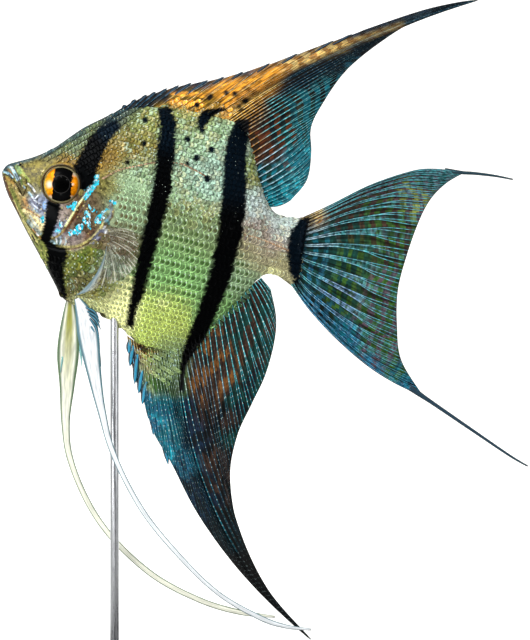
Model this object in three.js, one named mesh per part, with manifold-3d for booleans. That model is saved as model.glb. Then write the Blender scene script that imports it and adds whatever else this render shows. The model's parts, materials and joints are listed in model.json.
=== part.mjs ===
// Freshwater angelfish (Pterophyllum scalare): a life-size still model on a plain display stand.
// Millimetres, +Z up. The fish faces -X with its nose raised, and its flat body lies in the XZ plane,
// so its left side looks along -Y. The origin is on the floor, below the middle of the whole outline.
import * as THREE from 'three';
import { ParametricGeometry } from 'three/addons/geometries/ParametricGeometry.js';
import { mergeVertices } from 'three/addons/utils/BufferGeometryUtils.js';
import Module from 'manifold-3d';

// ---- Driving dimensions -------------------------------------------------------------------------

const FISH_LIFT = 14; // lowest fin tip above the floor
const GAP = 0.3; // clearance between pieces that touch on the real fish
const THROUGH = 40; // depth of a cut that goes right through the fish

// The body from snout to tail: top edge x, z; bottom edge x, z; half width there.
const BODY = [
  [-65.2, 118.0, -65.9, 116.8, 0.9],
  [-64.2, 119.1, -65.6, 115.0, 1.9],
  [-62.2, 119.8, -64.4, 111.2, 2.8],
  [-59.2, 120.6, -62.2, 106.8, 3.7],
  [-55.8, 121.8, -60.0, 102.4, 4.6],
  [-52.2, 123.6, -57.8, 98.3, 5.3],
  [-48.8, 126.0, -55.4, 94.0, 5.9],
  [-45.2, 128.4, -53.0, 89.5, 6.3],
  [-41.2, 130.4, -50.6, 85.2, 6.6],
  [-36.8, 132.4, -46.4, 82.9, 6.9],
  [-31.8, 133.3, -41.2, 81.3, 7.0],
  [-26.2, 133.6, -36.2, 77.9, 6.9],
  [-20.8, 133.0, -30.5, 72.9, 6.6],
  [-15.0, 132.0, -25.0, 71.6, 6.2],
  [-9.2, 130.6, -19.2, 73.5, 5.6],
  [-5.0, 127.6, -13.8, 77.8, 4.9],
  [-3.0, 121.8, -8.8, 82.6, 4.2],
  [-1.2, 115.0, -4.5, 87.2, 3.6],
  [1.2, 108.7, -0.8, 90.7, 3.1],
  [4.5, 106.1, 2.2, 91.1, 2.7],
  [8.0, 105.8, 5.2, 89.3, 2.3],
  [10.8, 106.3, 8.0, 87.0, 1.6],
];
const WIDEST = 0.56; // where a section is widest, as a share of its height
const EDGE_POWER = [0.5, 0.7]; // how full a section is at the snout, and from the gills back
const SNOUT_ROUND = 0.03; // share of the length over which each end closes
const BODY_SIDES = 24;
const BODY_RINGS = 35;
const OUTLINE_STEPS = 42; // steps along the outline that the fins stop at
const STALK_END = [[11.2, 106.3], [8.35, 86.7]]; // rear corners of that outline: x, z
const FIN_ROOM = 9; // half its depth across the fish

// A fin ray is drawn by its root, its middle and its tip: x, z of each. Rays run from front to rear.
const DORSAL_RAYS = [
  [-38.0, 131.0, -37.5, 131.9, -37.0, 132.4],
  [-34.5, 132.2, -32.8, 133.9, -31.0, 135.9],
  [-28.8, 133.0, -25.5, 135.6, -21.6, 138.8],
  [-21.8, 132.4, -16.8, 136.4, -10.2, 140.9],
  [-16.2, 131.5, -8.2, 137.5, 1.2, 144.2],
  [-12.8, 130.8, 1.2, 140.0, 17.5, 149.9],
  [-11.5, 130.4, 13.8, 145.1, 40.0, 157.5],
  [-10.0, 129.9, 19.2, 147.3, 53.2, 159.8],
  [-8.5, 129.2, 13.2, 142.5, 38.8, 155.1],
  [-6.8, 128.5, 10.9, 139.4, 30.1, 150.3],
  [-4.5, 127.2, 7.9, 134.8, 20.3, 142.4],
  [-3.5, 122.5, 5.1, 128.0, 13.8, 133.1],
  [-2.5, 117.5, 5.0, 122.4, 11.5, 127.8],
  [-0.8, 113.0, 5.8, 116.8, 11.6, 121.8],
  [0.8, 110.0, 6.2, 112.5, 10.5, 115.0],
  [1.5, 108.2, 4.0, 108.6, 6.5, 109.9],
];
const DORSAL_SPINES = { count: 14, end: 5.2 / 15, notch: 0.7 };
const ANAL_RAYS = [
  [-34.5, 76.0, -34.2, 73.8, -34.1, 71.8],
  [-33.5, 75.0, -33.0, 69.8, -32.2, 64.2],
  [-32.0, 74.0, -30.8, 66.8, -30.4, 59.2],
  [-30.2, 73.2, -29.2, 62.5, -27.8, 51.8],
  [-28.2, 72.8, -25.5, 57.5, -23.5, 44.5],
  [-26.2, 72.5, -22.2, 53.0, -17.0, 32.0],
  [-24.2, 72.5, -18.6, 45.0, -8.2, 19.6],
  [-23.0, 72.6, -15.3, 38.0, 1.6, 8.9],
  [-22.2, 72.8, -12.6, 31.8, 11.5, 0.2],
  [-20.2, 73.2, -11.6, 38.2, 1.0, 12.3],
  [-17.8, 74.8, -12.4, 50.0, -6.4, 27.4],
  [-15.0, 76.8, -12.2, 57.5, -8.7, 40.5],
  [-11.8, 79.5, -9.5, 65.0, -7.0, 50.8],
  [-8.8, 82.2, -6.0, 69.8, -3.2, 59.2],
  [-6.0, 85.2, -2.8, 75.0, 0.0, 66.0],
  [-3.5, 87.8, -0.2, 80.5, 2.2, 73.8],
  [-1.8, 89.5, 0.8, 85.5, 2.8, 80.5],
  [-0.8, 90.5, 0.2, 89.2, 1.4, 87.8],
];
const ANAL_SPINES = { count: 7, end: 3 / 17, notch: 1.1 };
const SPINE_STEP = 0.0015; // share of a fin between a spine's tip and the notch behind it
const NOTCH_FROM = 0.9; // share of a ray that its notch is measured from
const NOTCH_AT = 0.95; // share of a ray beyond which the edge is notched
const TIP_REACH = 0.4; // how close to the long tip the rows crowd, in rays
const TIP_CLEAR = 1.4; // where they spread out again, as a share of that reach
const DORSAL_TIP_LINE = [[33.8, 157.5], [35.4, 150.5]]; // where each streamer begins: x, z
const ANAL_TIP_LINE = [[-10.0, 17.5], [3.0, 23.6]];
const DORSAL_TIP = 7 / 15; // where along each fin the ray is that runs out into the long tip
const ANAL_TIP = 8 / 17;

// The tail fin by its four edges: x, z.
const TAIL_ROOT = [[10.0, 106.0], [10.5, 101.2], [9.5, 95.5], [7.9, 87.0]];
const TAIL_UPPER = [
  [10.0, 106.0], [16.2, 108.8], [26.2, 113.8], [36.2, 117.2], [42.0, 117.9], [50.4, 117.1],
];
const TAIL_LOWER = [[7.9, 87.0], [11.1, 82.4], [17.3, 75.7], [24.8, 69.1], [31.8, 64.5], [40.0, 60.5]];
const TAIL_REAR = [
  [50.4, 117.1], [45.5, 114.3], [41.3, 110.0], [38.2, 104.0], [35.2, 95.5],
  [33.2, 87.5], [33.0, 78.8], [34.2, 69.8], [40.0, 60.5],
];
// Streamers and feelers: x, y, z of the centre line and the width there.
const DORSAL_STREAMER = [
  [35.0, -0.7, 154.5, 2.1], [38.8, -0.8, 156.1, 1.5], [43.8, -1.0, 157.8, 1.0], [48.8, -1.1, 159.0, 0.7],
  [53.2, -1.2, 159.8, 0.5],
];
const ANAL_STREAMER = [
  [-5.1, -0.3, 19.3, 3.6], [-2.2, -0.3, 15.3, 2.7], [0.5, -0.3, 11.8, 1.9], [5.8, -0.3, 6.2, 1.0],
  [8.8, -0.3, 3.1, 0.7], [11.5, -0.3, 0.3, 0.5],
];
const TAIL_STREAMER_UPPER = [
  [49.4, 0, 116.9, 0.9], [52.5, 0, 116.7, 0.8], [57.5, 0, 116.1, 0.7], [62.1, 0, 115.2, 0.5],
];
const TAIL_STREAMER_LOWER = [
  [38.6, 0, 61.5, 1.4], [42.0, 0, 59.2, 1.0], [51.2, 0, 52.9, 0.8], [61.2, 0, 46.1, 0.6],
  [65.8, 0, 43.4, 0.5],
];
const PELVIC_LEFT = [
  [-46.9, -1.7, 85.4, 1.4], [-44.8, -2.2, 80.6, 4.8], [-43.8, -2.7, 75.0, 5.2], [-42.6, -3.3, 67.5, 3.7],
  [-40.6, -3.9, 57.5, 2.1], [-37.4, -4.4, 46.2, 1.4], [-30.2, -4.8, 32.5, 1.3], [-20.6, -5.0, 20.8, 1.2],
  [-11.2, -4.7, 11.9, 1.1], [-1.2, -4.3, 6.1, 1.3], [5.2, -4.0, 3.9, 1.0], [11.4, -3.8, 3.1, 0.5],
];
const PELVIC_RIGHT = [
  [-48.9, 1.7, 85.6, 1.6], [-49.1, 2.4, 78.5, 4.5], [-49.5, 3.1, 71.5, 5.5], [-49.8, 3.8, 63.4, 3.8],
  [-50.2, 4.3, 53.8, 2.1], [-49.0, 4.7, 44.7, 1.6], [-44.4, 5.0, 33.6, 1.6], [-37.8, 5.1, 24.3, 2.0],
  [-27.7, 5.0, 15.3, 2.1], [-16.1, 4.6, 9.3, 1.9], [-6.2, 4.2, 6.4, 1.6], [2.5, 4.0, 5.3, 0.5],
];
const FEELER_GAP = 0.002; // half the gap between a pelvic fin and its feeler, as a share of the length
const RIBBON_STEP = 0.01; // share of a ribbon over which its direction is taken
const FEELER_START = 0.4; // share of a pelvic fin, by its rows, that is fin before the long feeler
const PECTORAL_RAYS = [
  [-40.2, 102.2, -36.0, 102.8, -32.2, 102.0],
  [-39.8, 101.0, -35.2, 100.0, -31.2, 97.5],
  [-39.5, 99.8, -35.2, 96.5, -32.0, 93.0],
  [-39.2, 98.8, -37.0, 94.2, -35.8, 89.8],
  [-39.1, 98.0, -39.8, 92.8, -41.2, 87.8],
  [-39.5, 97.2, -42.5, 90.8, -46.3, 86.0],
];
const PECTORAL_ROOT_Y = 6.6;
const PECTORAL_LIFT = 2.6; // how far the folded fin stands out at its tips

const FIN_ROOT = 1.4; // fin thickness at the body
const FIN_EDGE = 0.55; // and at the outer edge
const SMALL_FIN = 0.6; // thickness of the paired fins
const DORSAL_WAVE = { height: 1.3, turns: 1.6, phase: 0.4 };
const ANAL_WAVE = { height: 1.6, turns: 1.3, phase: 2.2 };
const TAIL_WAVE = { height: 1.2, turns: 1.1, phase: 0.9 };
const STREAMER_START = 0.012; // how far beyond the tail fin, as a share of its rays, a streamer begins

const EYE = { x: -50.5, z: 113.6, y: 3.7, radius: 4.6, depth: 2.7 };

// Cut lines through the body: x, z.
const GILL_LINE = [
  [-42.4, 134.0], [-41.8, 129.0], [-40.5, 117.5], [-38.0, 108.0], [-40.5, 102.6],
  [-45.0, 99.0], [-49.2, 97.5], [-53.8, 98.0], [-56.8, 99.6], [-60.5, 98.5],
];
const STALK_LINE = [[1.0, 113.0], [0.7, 108.0], [-0.4, 98.0], [-0.6, 91.0], [-0.9, 86.0]];
const MOUTH_LINE = [
  [-68.0, 117.8], [-66.0, 117.2], [-64.4, 116.9], [-62.8, 114.8], [-61.2, 112.0], [-59.9, 110.0],
];
const UPPER_JAW_LINE = [[-59.9, 110.0], [-60.2, 113.0], [-61.6, 116.6], [-62.8, 118.6], [-63.6, 121.5]];
const LOWER_JAW_LINE = [[-59.9, 110.0], [-60.2, 108.6], [-61.2, 106.9], [-63.4, 104.4]];
const GILL_COVER = [
  [-45.4, 110.6], [-41.5, 117.4], [-37.6, 115.5], [-36.0, 108.0], [-40.0, 101.0],
  [-45.0, 97.6], [-49.4, 96.4], [-53.6, 97.2], [-51.6, 101.4], [-48.0, 105.4],
];
const GILL_COVER_DEPTH = 3.2; // inner face of a gill cover, from the middle of the head

const BASE = { x: -14, length: 96, width: 64, height: 8, corner: 10, edge: 0.8 };
const ROD = { x: -37.6, radius: 1.1, socket: 5, length: 100, sides: 20 };
const COLLAR = { radius: 3.6, height: 3.2, shoulder: 0.6, slope: 0.8 }; // shoulder: share of its height

const PAINT = {
  skin: { color: 0x8f9a72, roughness: 0.35, metalness: 0.1 },
  lips: { color: 0x6f7f86, roughness: 0.4, metalness: 0.05 },
  fin: { color: 0x1d6f78, roughness: 0.4, metalness: 0.1 },
  feeler: { color: 0xdfe6d8, roughness: 0.4, metalness: 0 },
  eye: { color: 0xd98a2b, roughness: 0.1, metalness: 0.1 },
  base: { color: 0x1b1b1d, roughness: 0.3, metalness: 0 },
  steel: { color: 0xb9bcc0, roughness: 0.3, metalness: 1 },
};

// ---- Curves and closed surfaces -----------------------------------------------------------------

const wasm = await Module();
wasm.setup();

// Row t of a table, t from 0 to 1, on a smooth curve through its rows.
function along(table, t) {
  const place = t * (table.length - 1);
  const i = Math.min(Math.floor(place), table.length - 2);
  const f = place - i;
  const near = [i - 1, i, i + 1, i + 2].map((k) => table[THREE.MathUtils.clamp(k, 0, table.length - 1)]);
  return near[1].map((from, k) => {
    const to = near[2][k];
    const leave = (to - near[0][k]) / 2;
    const arrive = (near[3][k] - from) / 2;
    return (2 * from - 2 * to + leave + arrive) * f ** 3 + (3 * to - 3 * from - 2 * leave - arrive) * f ** 2
      + leave * f + from;
  });
}

function points(table, steps) {
  return Array.from({ length: steps + 1 }, (_, k) => along(table, k / steps));
}

// One closed solid from a three.js geometry, its shared vertices merged and its faces turned outwards.
function solid(geometry) {
  geometry.deleteAttribute('normal');
  geometry.deleteAttribute('uv');
  const merged = mergeVertices(geometry, 1e-4);
  const xyz = merged.attributes.position.array;
  const index = merged.index.array;
  const faces = [];
  for (let k = 0; k < index.length; k += 3) {
    const [a, b, c] = index.slice(k, k + 3);
    if (a !== b && b !== c && c !== a) faces.push([a, b, c]);
  }
  const corner = (i) => new THREE.Vector3(xyz[3 * i], xyz[3 * i + 1], xyz[3 * i + 2]);
  const volume = faces.reduce((sum, [a, b, c]) => sum + corner(a).dot(corner(b).cross(corner(c))), 0);
  const outward = volume > 0 ? faces : faces.map(([a, b, c]) => [a, c, b]);
  const mesh = new wasm.Mesh({ numProp: 3, vertProperties: xyz, triVerts: Uint32Array.from(outward.flat()) });
  mesh.merge();
  return new wasm.Manifold(mesh);
}

// An outline in the XZ plane made a prism between two heights along Y.
function prism(outline, low, high) {
  const shape = new THREE.Shape(outline.map(([x, z]) => new THREE.Vector2(x, z)));
  const geometry = new THREE.ExtrudeGeometry(shape, { depth: high - low, bevelEnabled: false });
  geometry.rotateX(Math.PI / 2);
  geometry.translate(0, high, 0);
  return solid(geometry);
}

// A line in the XZ plane moved sideways, to its left as it runs.
function shifted(line, distance) {
  return line.map(([x, z], k) => {
    const [x0, z0] = line[Math.max(k - 1, 0)];
    const [x1, z1] = line[Math.min(k + 1, line.length - 1)];
    const shift = distance / Math.hypot(x1 - x0, z1 - z0);
    return [x - (z1 - z0) * shift, z + (x1 - x0) * shift];
  });
}

// A knife of even thickness along an open line, right through the fish.
function knife(line) {
  return prism([...shifted(line, GAP / 2), ...shifted(line, -GAP / 2).reverse()], -THROUGH, THROUGH);
}

// The separate bodies of a cut solid, ordered by a measure of their boxes, smallest first.
function pieces(cut, measure) {
  return cut.decompose().filter((piece) => piece.volume() > 0.2)
    .sort((a, b) => measure(a.boundingBox()) - measure(b.boundingBox()));
}

const lowX = (box) => box.min[0];

// ---- Body ---------------------------------------------------------------------------------------

// The row of BODY at t, with both edges moved outwards by grow.
function station(t, grow) {
  const [tx, tz, bx, bz, half] = along(BODY, t);
  const height = Math.hypot(tx - bx, tz - bz);
  const shift = grow / height;
  const end = Math.min(t, 1 - t) / SNOUT_ROUND;
  const close = end < 1 ? Math.sqrt(1 - (1 - end) ** 2) : 1;
  return {
    top: [tx + (tx - bx) * shift, tz + (tz - bz) * shift],
    bottom: [bx - (tx - bx) * shift, bz - (tz - bz) * shift],
    half: (half + grow) * close,
    power: THREE.MathUtils.lerp(EDGE_POWER[0], EDGE_POWER[1], THREE.MathUtils.smoothstep(t, 0, 0.4)),
  };
}

function bodySolid(grow) {
  const surface = (u, v, target) => {
    const t = 0.6 * v + 0.2 * (1 - Math.cos(Math.PI * v));
    const turn = 2 * Math.PI * u;
    const { top, bottom, half, power } = station(t, grow);
    const rise = (1 - Math.cos(turn)) / 2;
    const off = (rise - WIDEST) / (rise < WIDEST ? WIDEST : 1 - WIDEST);
    const y = half * Math.max(1 - off * off, 0) ** power * (turn > Math.PI ? 1 : -1);
    const level = Math.abs(y) < 1e-5 ? 0 : y;
    const [x, z] = [0, 1].map((k) => bottom[k] + (top[k] - bottom[k]) * rise);
    target.set(x, level, z);
  };
  return solid(new ParametricGeometry(surface, BODY_SIDES, BODY_RINGS));
}

// The side outline of the body, a little larger, that the fins stop at.
function finClearance() {
  const rows = Array.from({ length: OUTLINE_STEPS + 1 }, (_, k) => station(k / OUTLINE_STEPS, GAP));
  const top = rows.map((row) => row.top);
  const bottom = rows.map((row) => row.bottom).reverse();
  return prism([...top, ...STALK_END, ...bottom], -FIN_ROOM, FIN_ROOM);
}

const body = bodySolid(0);
const bodyRoom = bodySolid(GAP);
const finRoom = finClearance();

function eyeball(side, grow) {
  const geometry = new THREE.SphereGeometry(1, 14, 9);
  geometry.rotateX(Math.PI / 2);
  geometry.scale(EYE.radius + grow, EYE.depth + grow, EYE.radius + grow);
  geometry.translate(EYE.x, side * EYE.y, EYE.z);
  return solid(geometry);
}

// The block of one side of the head that its gill cover fills, larger all round by grow.
function gillCoverBlock(side, grow) {
  const outline = shifted(points([...GILL_COVER, GILL_COVER[0]], 24), grow).slice(0, -1);
  const depth = side * (GILL_COVER_DEPTH - grow);
  return prism(outline, Math.min(depth, side * THROUGH), Math.max(depth, side * THROUGH));
}

const [headBlock, trunk] = pieces(body.subtract(knife(points(GILL_LINE, 24))), lowX);
const [trunkFront, tailStalk] = pieces(trunk.subtract(knife(STALK_LINE)), lowX);

let skull = headBlock;
for (const line of [MOUTH_LINE, UPPER_JAW_LINE, LOWER_JAW_LINE]) {
  skull = skull.subtract(knife(points(line, 8)));
}
const [lowerJaw, upperJaw, cranium] = pieces(skull, lowX);
const [gillCoverLeft, gillCoverRight] = [-1, 1].map((side) => cranium.intersect(gillCoverBlock(side, 0)));
let head = cranium;
for (const side of [-1, 1]) {
  head = head.subtract(eyeball(side, GAP)).subtract(gillCoverBlock(side, GAP));
}

// ---- Fins ---------------------------------------------------------------------------------------

// A closed sheet: place(u, v) gives x, z; the rest says how thick it is and how far it stands off the plane.
function sheet({ place, us, vSteps, thickness, offset }) {
  const around = 2 * vSteps + 2;
  const rows = us.length + 1;
  const surface = (a, b, target) => {
    const k = Math.round(a * around) % around;
    const row = Math.round(b * rows);
    const front = k <= vSteps;
    const u = us[THREE.MathUtils.clamp(row - 1, 0, us.length - 1)];
    const v = (front ? k : around - 1 - k) / vSteps;
    const [x, z] = place(u, v);
    const half = row === 0 || row === rows ? 0 : thickness(u, v) / 2;
    target.set(x, offset(u, v) + (front ? half : -half), z);
  };
  return solid(new ParametricGeometry(surface, around, rows));
}

function evenly(count, from = 0, to = 1) {
  return Array.from({ length: count + 1 }, (_, k) => from + ((to - from) * k) / count);
}

const finThickness = (u, v) => THREE.MathUtils.lerp(FIN_ROOT, FIN_EDGE, Math.min(1, 1.6 * v));
const wave = ({ height, turns, phase }) => (u, v) =>
  height * v * v * Math.sin(2 * Math.PI * turns * u + phase);

// A ray's point at v, on the parabola through its root, middle and tip.
function onRay(rays, u, v) {
  const [rx, rz, mx, mz, tx, tz] = along(rays, u);
  const [root, middle, tip] = [(1 - v) * (1 - 2 * v), 4 * v * (1 - v), v * (2 * v - 1)];
  return [root * rx + middle * mx + tip * tx, root * rz + middle * mz + tip * tz];
}

// How far behind the next spine's tip the edge falls, from 1 just behind a tip to 0 at the next.
function sawtooth({ count, end }, u) {
  if (u >= end) return 0;
  const tooth = (u / end) * count;
  return Math.ceil(tooth - 1e-6) - tooth;
}

function rayFin(rays, spines, tip, waves) {
  const spineUs = evenly(spines.count, 0, spines.end).slice(0, -1).flatMap((u) => [u, u + SPINE_STEP]);
  const fine = TIP_REACH / (rays.length - 1);
  const us = [
    ...spineUs, ...evenly(4, spines.end, tip - fine), ...evenly(3, tip - fine / 2, tip + fine),
    ...evenly(15, tip + TIP_CLEAR * fine, 1),
  ];
  const place = (u, v) => {
    const [x, z] = onRay(rays, u, v);
    const [ex, ez] = onRay(rays, u, NOTCH_FROM);
    const length = Math.hypot(x - ex, z - ez) || 1;
    const back = v > NOTCH_AT ? (spines.notch * sawtooth(spines, u)) / length : 0;
    return [x - (x - ex) * back, z - (z - ez) * back];
  };
  return sheet({ place, us, vSteps: 5, thickness: finThickness, offset: wave(waves) }).subtract(finRoom);
}

// The tail fin is blended between its four edges.
function tailPlace(u, v) {
  const root = along(TAIL_ROOT, u);
  const rear = along(TAIL_REAR, u);
  const upper = along(TAIL_UPPER, v);
  const lower = along(TAIL_LOWER, v);
  const corner = (k) => (1 - u) * ((1 - v) * TAIL_UPPER[0][k] + v * TAIL_UPPER.at(-1)[k])
    + u * ((1 - v) * TAIL_LOWER[0][k] + v * TAIL_LOWER.at(-1)[k]);
  return [0, 1].map((k) => (1 - v) * root[k] + v * rear[k] + (1 - u) * upper[k] + u * lower[k] - corner(k));
}

// A flat ribbon along a centre line, between two shares of its length.
function ribbon(line, steps, thickness, from = 0, to = 1) {
  const place = (u, v) => {
    const [x, , z, width] = along(line, u);
    const [x0, , z0] = along(line, Math.max(u - RIBBON_STEP, 0));
    const [x1, , z1] = along(line, Math.min(u + RIBBON_STEP, 1));
    const length = Math.hypot(x1 - x0, z1 - z0);
    const across = (width * (v - 0.5)) / length;
    return [x - (z1 - z0) * across, z + (x1 - x0) * across];
  };
  const offset = (u) => along(line, u)[1];
  return sheet({ place, us: evenly(steps, from, to), vSteps: 1, thickness: () => thickness, offset });
}

function rayLine(rays, u) {
  return evenly(10).map((v) => onRay(rays, u, v));
}

// Cuts a fin along its last spine, and ends its soft part at the line where the streamer begins.
function splitFin(fin, rays, spines, tipLine) {
  const [spiny, soft] = pieces(fin.subtract(knife(rayLine(rays, spines.end))), lowX);
  return [spiny, pieces(soft.subtract(knife(tipLine)), (box) => -box.max[2] + box.min[2])[0]];
}

const dorsal = rayFin(DORSAL_RAYS, DORSAL_SPINES, DORSAL_TIP, DORSAL_WAVE);
const [dorsalSpiny, dorsalSoft] = splitFin(dorsal, DORSAL_RAYS, DORSAL_SPINES, DORSAL_TIP_LINE);
const anal = rayFin(ANAL_RAYS, ANAL_SPINES, ANAL_TIP, ANAL_WAVE);
const [analSpiny, analSoft] = splitFin(anal, ANAL_RAYS, ANAL_SPINES, ANAL_TIP_LINE);

// The tail fin, its rays made longer by a share and its sheet thicker by grow on each side.
function tailSheet(longer, grow) {
  return sheet({
    place: (u, v) => tailPlace(u, v * (1 + longer)),
    us: evenly(18),
    vSteps: 6,
    thickness: (u, v) => finThickness(u, v) + 2 * grow,
    offset: wave(TAIL_WAVE),
  });
}

const tailFin = tailSheet(0, 0).subtract(finRoom);
const tailRoom = tailSheet(STREAMER_START, GAP);

function tailStreamer(line, u) {
  const level = line.map(([x, , z, width]) => [x, wave(TAIL_WAVE)(u, 1), z, width]);
  return pieces(ribbon(level, 8, FIN_EDGE).subtract(tailRoom), (box) => -box.max[0])[0];
}

function pelvic(line) {
  const fin = ribbon(line, 10, SMALL_FIN, 0, FEELER_START - FEELER_GAP);
  const feeler = ribbon(line, 24, SMALL_FIN, FEELER_START + FEELER_GAP, 1);
  return [fin.subtract(bodyRoom), feeler];
}

const [pelvicFinLeft, pelvicFeelerLeft] = pelvic(PELVIC_LEFT);
const [pelvicFinRight, pelvicFeelerRight] = pelvic(PELVIC_RIGHT);

function pectoral(side) {
  const fin = sheet({
    place: (u, v) => onRay(PECTORAL_RAYS, u, v),
    us: evenly(9),
    vSteps: 3,
    thickness: () => SMALL_FIN,
    offset: (u, v) => side * (PECTORAL_ROOT_Y + PECTORAL_LIFT * v),
  });
  return pieces(fin.subtract(bodyRoom), (box) => -side * (box.max[1] + box.min[1]))[0];
}

// ---- Stand --------------------------------------------------------------------------------------

function rod(grow, low) {
  const geometry = new THREE.CylinderGeometry(ROD.radius + grow, ROD.radius + grow, ROD.length, ROD.sides);
  geometry.rotateX(Math.PI / 2);
  geometry.translate(ROD.x, 0, low - FISH_LIFT + ROD.length / 2);
  return solid(geometry);
}

function standBase() {
  const { length, width, height, corner, edge } = BASE;
  const [halfX, halfY] = [length / 2 - edge, width / 2 - edge];
  const shape = new THREE.Shape();
  shape.absarc(halfX - corner, halfY - corner, corner, 0, Math.PI / 2);
  shape.absarc(corner - halfX, halfY - corner, corner, Math.PI / 2, Math.PI);
  shape.absarc(corner - halfX, corner - halfY, corner, Math.PI, 1.5 * Math.PI);
  shape.absarc(halfX - corner, corner - halfY, corner, 1.5 * Math.PI, 2 * Math.PI);
  const geometry = new THREE.ExtrudeGeometry(shape, {
    depth: height - 2 * edge, bevelThickness: edge, bevelSize: edge, bevelSegments: 1, curveSegments: 5,
  });
  geometry.translate(BASE.x, 0, edge - FISH_LIFT);
  return solid(geometry).subtract(rod(GAP, height - ROD.socket - GAP));
}

function standCollar() {
  const { radius, height, shoulder, slope } = COLLAR;
  const bore = ROD.radius + GAP;
  const profile = [
    [bore, 0], [radius, 0], [radius, height * shoulder], [radius - slope, height], [bore, height], [bore, 0],
  ];
  const geometry = new THREE.LatheGeometry(profile.map(([r, z]) => new THREE.Vector2(r, z)), ROD.sides);
  geometry.rotateX(Math.PI / 2);
  geometry.translate(ROD.x, 0, BASE.height + GAP - FISH_LIFT);
  return solid(geometry);
}

// ---- Scene graph --------------------------------------------------------------------------------

const angelfish = new THREE.Group();
angelfish.position.z = FISH_LIFT;

function addPart(name, shape, paint) {
  const { vertProperties, triVerts } = shape.getMesh();
  const geometry = new THREE.BufferGeometry();
  geometry.setAttribute('position', new THREE.BufferAttribute(vertProperties, 3));
  geometry.setIndex(new THREE.BufferAttribute(triVerts, 1));
  geometry.computeVertexNormals();
  const mesh = new THREE.Mesh(geometry, new THREE.MeshStandardMaterial(PAINT[paint]));
  mesh.name = name;
  angelfish.add(mesh);
}

addPart('head', pieces(head, lowX)[0], 'skin');
addPart('upper_jaw', upperJaw, 'lips');
addPart('lower_jaw', lowerJaw, 'lips');
addPart('gill_cover_left', gillCoverLeft, 'skin');
addPart('gill_cover_right', gillCoverRight, 'skin');
addPart('eye_left', eyeball(-1, 0), 'eye');
addPart('eye_right', eyeball(1, 0), 'eye');
addPart('trunk', trunkFront, 'skin');
addPart('tail_stalk', tailStalk, 'skin');
addPart('dorsal_fin_spiny', dorsalSpiny, 'fin');
addPart('dorsal_fin_soft', dorsalSoft, 'fin');
addPart('dorsal_streamer', ribbon(DORSAL_STREAMER, 10, FIN_EDGE), 'fin');
addPart('anal_fin_spiny', analSpiny, 'fin');
addPart('anal_fin_soft', analSoft, 'fin');
addPart('anal_streamer', ribbon(ANAL_STREAMER, 10, FIN_EDGE), 'fin');
addPart('tail_fin', tailFin, 'fin');
addPart('tail_streamer_upper', tailStreamer(TAIL_STREAMER_UPPER, 0), 'fin');
addPart('tail_streamer_lower', tailStreamer(TAIL_STREAMER_LOWER, 1), 'fin');
addPart('pelvic_fin_left', pelvicFinLeft, 'feeler');
addPart('pelvic_feeler_left', pelvicFeelerLeft, 'feeler');
addPart('pelvic_fin_right', pelvicFinRight, 'feeler');
addPart('pelvic_feeler_right', pelvicFeelerRight, 'feeler');
addPart('pectoral_fin_left', pectoral(-1), 'feeler');
addPart('pectoral_fin_right', pectoral(1), 'feeler');
addPart('stand_base', standBase(), 'base');
addPart('stand_collar', standCollar(), 'steel');
addPart('stand_rod', rod(0, BASE.height - ROD.socket).subtract(bodyRoom), 'steel');

export default angelfish;
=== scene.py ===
"""Freshwater angelfish, life size, held on a plain display stand.

Skin, scales, fins, eyes and stand over the fish's frame. Tables are in millimetres, measured from a
floor point under the middle of the fish, without FISH_LIFT; everything built is in metres. The fish
faces -X with its left side along -Y.
"""

import json
from functools import partial
from math import cos, pi, radians, sin, sqrt

import bmesh
import bpy
import numpy as np
from bpy.props import FloatProperty, FloatVectorProperty, IntProperty, PointerProperty
from mathutils import Matrix, Vector
from mathutils.bvhtree import BVHTree

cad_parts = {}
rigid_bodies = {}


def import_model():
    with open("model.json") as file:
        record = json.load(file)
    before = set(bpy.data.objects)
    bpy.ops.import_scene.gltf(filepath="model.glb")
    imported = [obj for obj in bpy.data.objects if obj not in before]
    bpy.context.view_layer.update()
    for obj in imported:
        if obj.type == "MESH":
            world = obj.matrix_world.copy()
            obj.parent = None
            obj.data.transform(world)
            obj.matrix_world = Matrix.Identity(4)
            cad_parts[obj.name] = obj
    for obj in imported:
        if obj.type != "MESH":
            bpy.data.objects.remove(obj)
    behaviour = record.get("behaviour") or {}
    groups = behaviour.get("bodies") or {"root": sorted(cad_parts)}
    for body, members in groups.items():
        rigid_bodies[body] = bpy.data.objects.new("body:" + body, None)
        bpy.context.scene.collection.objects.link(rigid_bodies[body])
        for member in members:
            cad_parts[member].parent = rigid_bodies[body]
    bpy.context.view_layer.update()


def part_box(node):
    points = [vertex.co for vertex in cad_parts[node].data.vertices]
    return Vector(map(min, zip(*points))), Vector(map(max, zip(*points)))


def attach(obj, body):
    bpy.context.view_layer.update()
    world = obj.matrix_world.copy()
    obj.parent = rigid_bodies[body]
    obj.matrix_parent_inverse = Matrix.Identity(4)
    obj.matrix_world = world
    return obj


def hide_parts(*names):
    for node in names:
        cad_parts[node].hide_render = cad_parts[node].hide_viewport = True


bl_info = {
    "name": "Angelfish Model",
    "version": (1, 0, 0),
    "blender": (4, 5, 0),
    "location": "View3D > Sidebar > Angelfish",
    "description": "Builds a life-size freshwater angelfish on a display stand",
    "category": "Object",
}

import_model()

MM = 0.001
FISH_LIFT = 14.0  # lowest fin tip above the floor

# ---- Shape tables, in mm ------------------------------------------------------------------------

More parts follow.
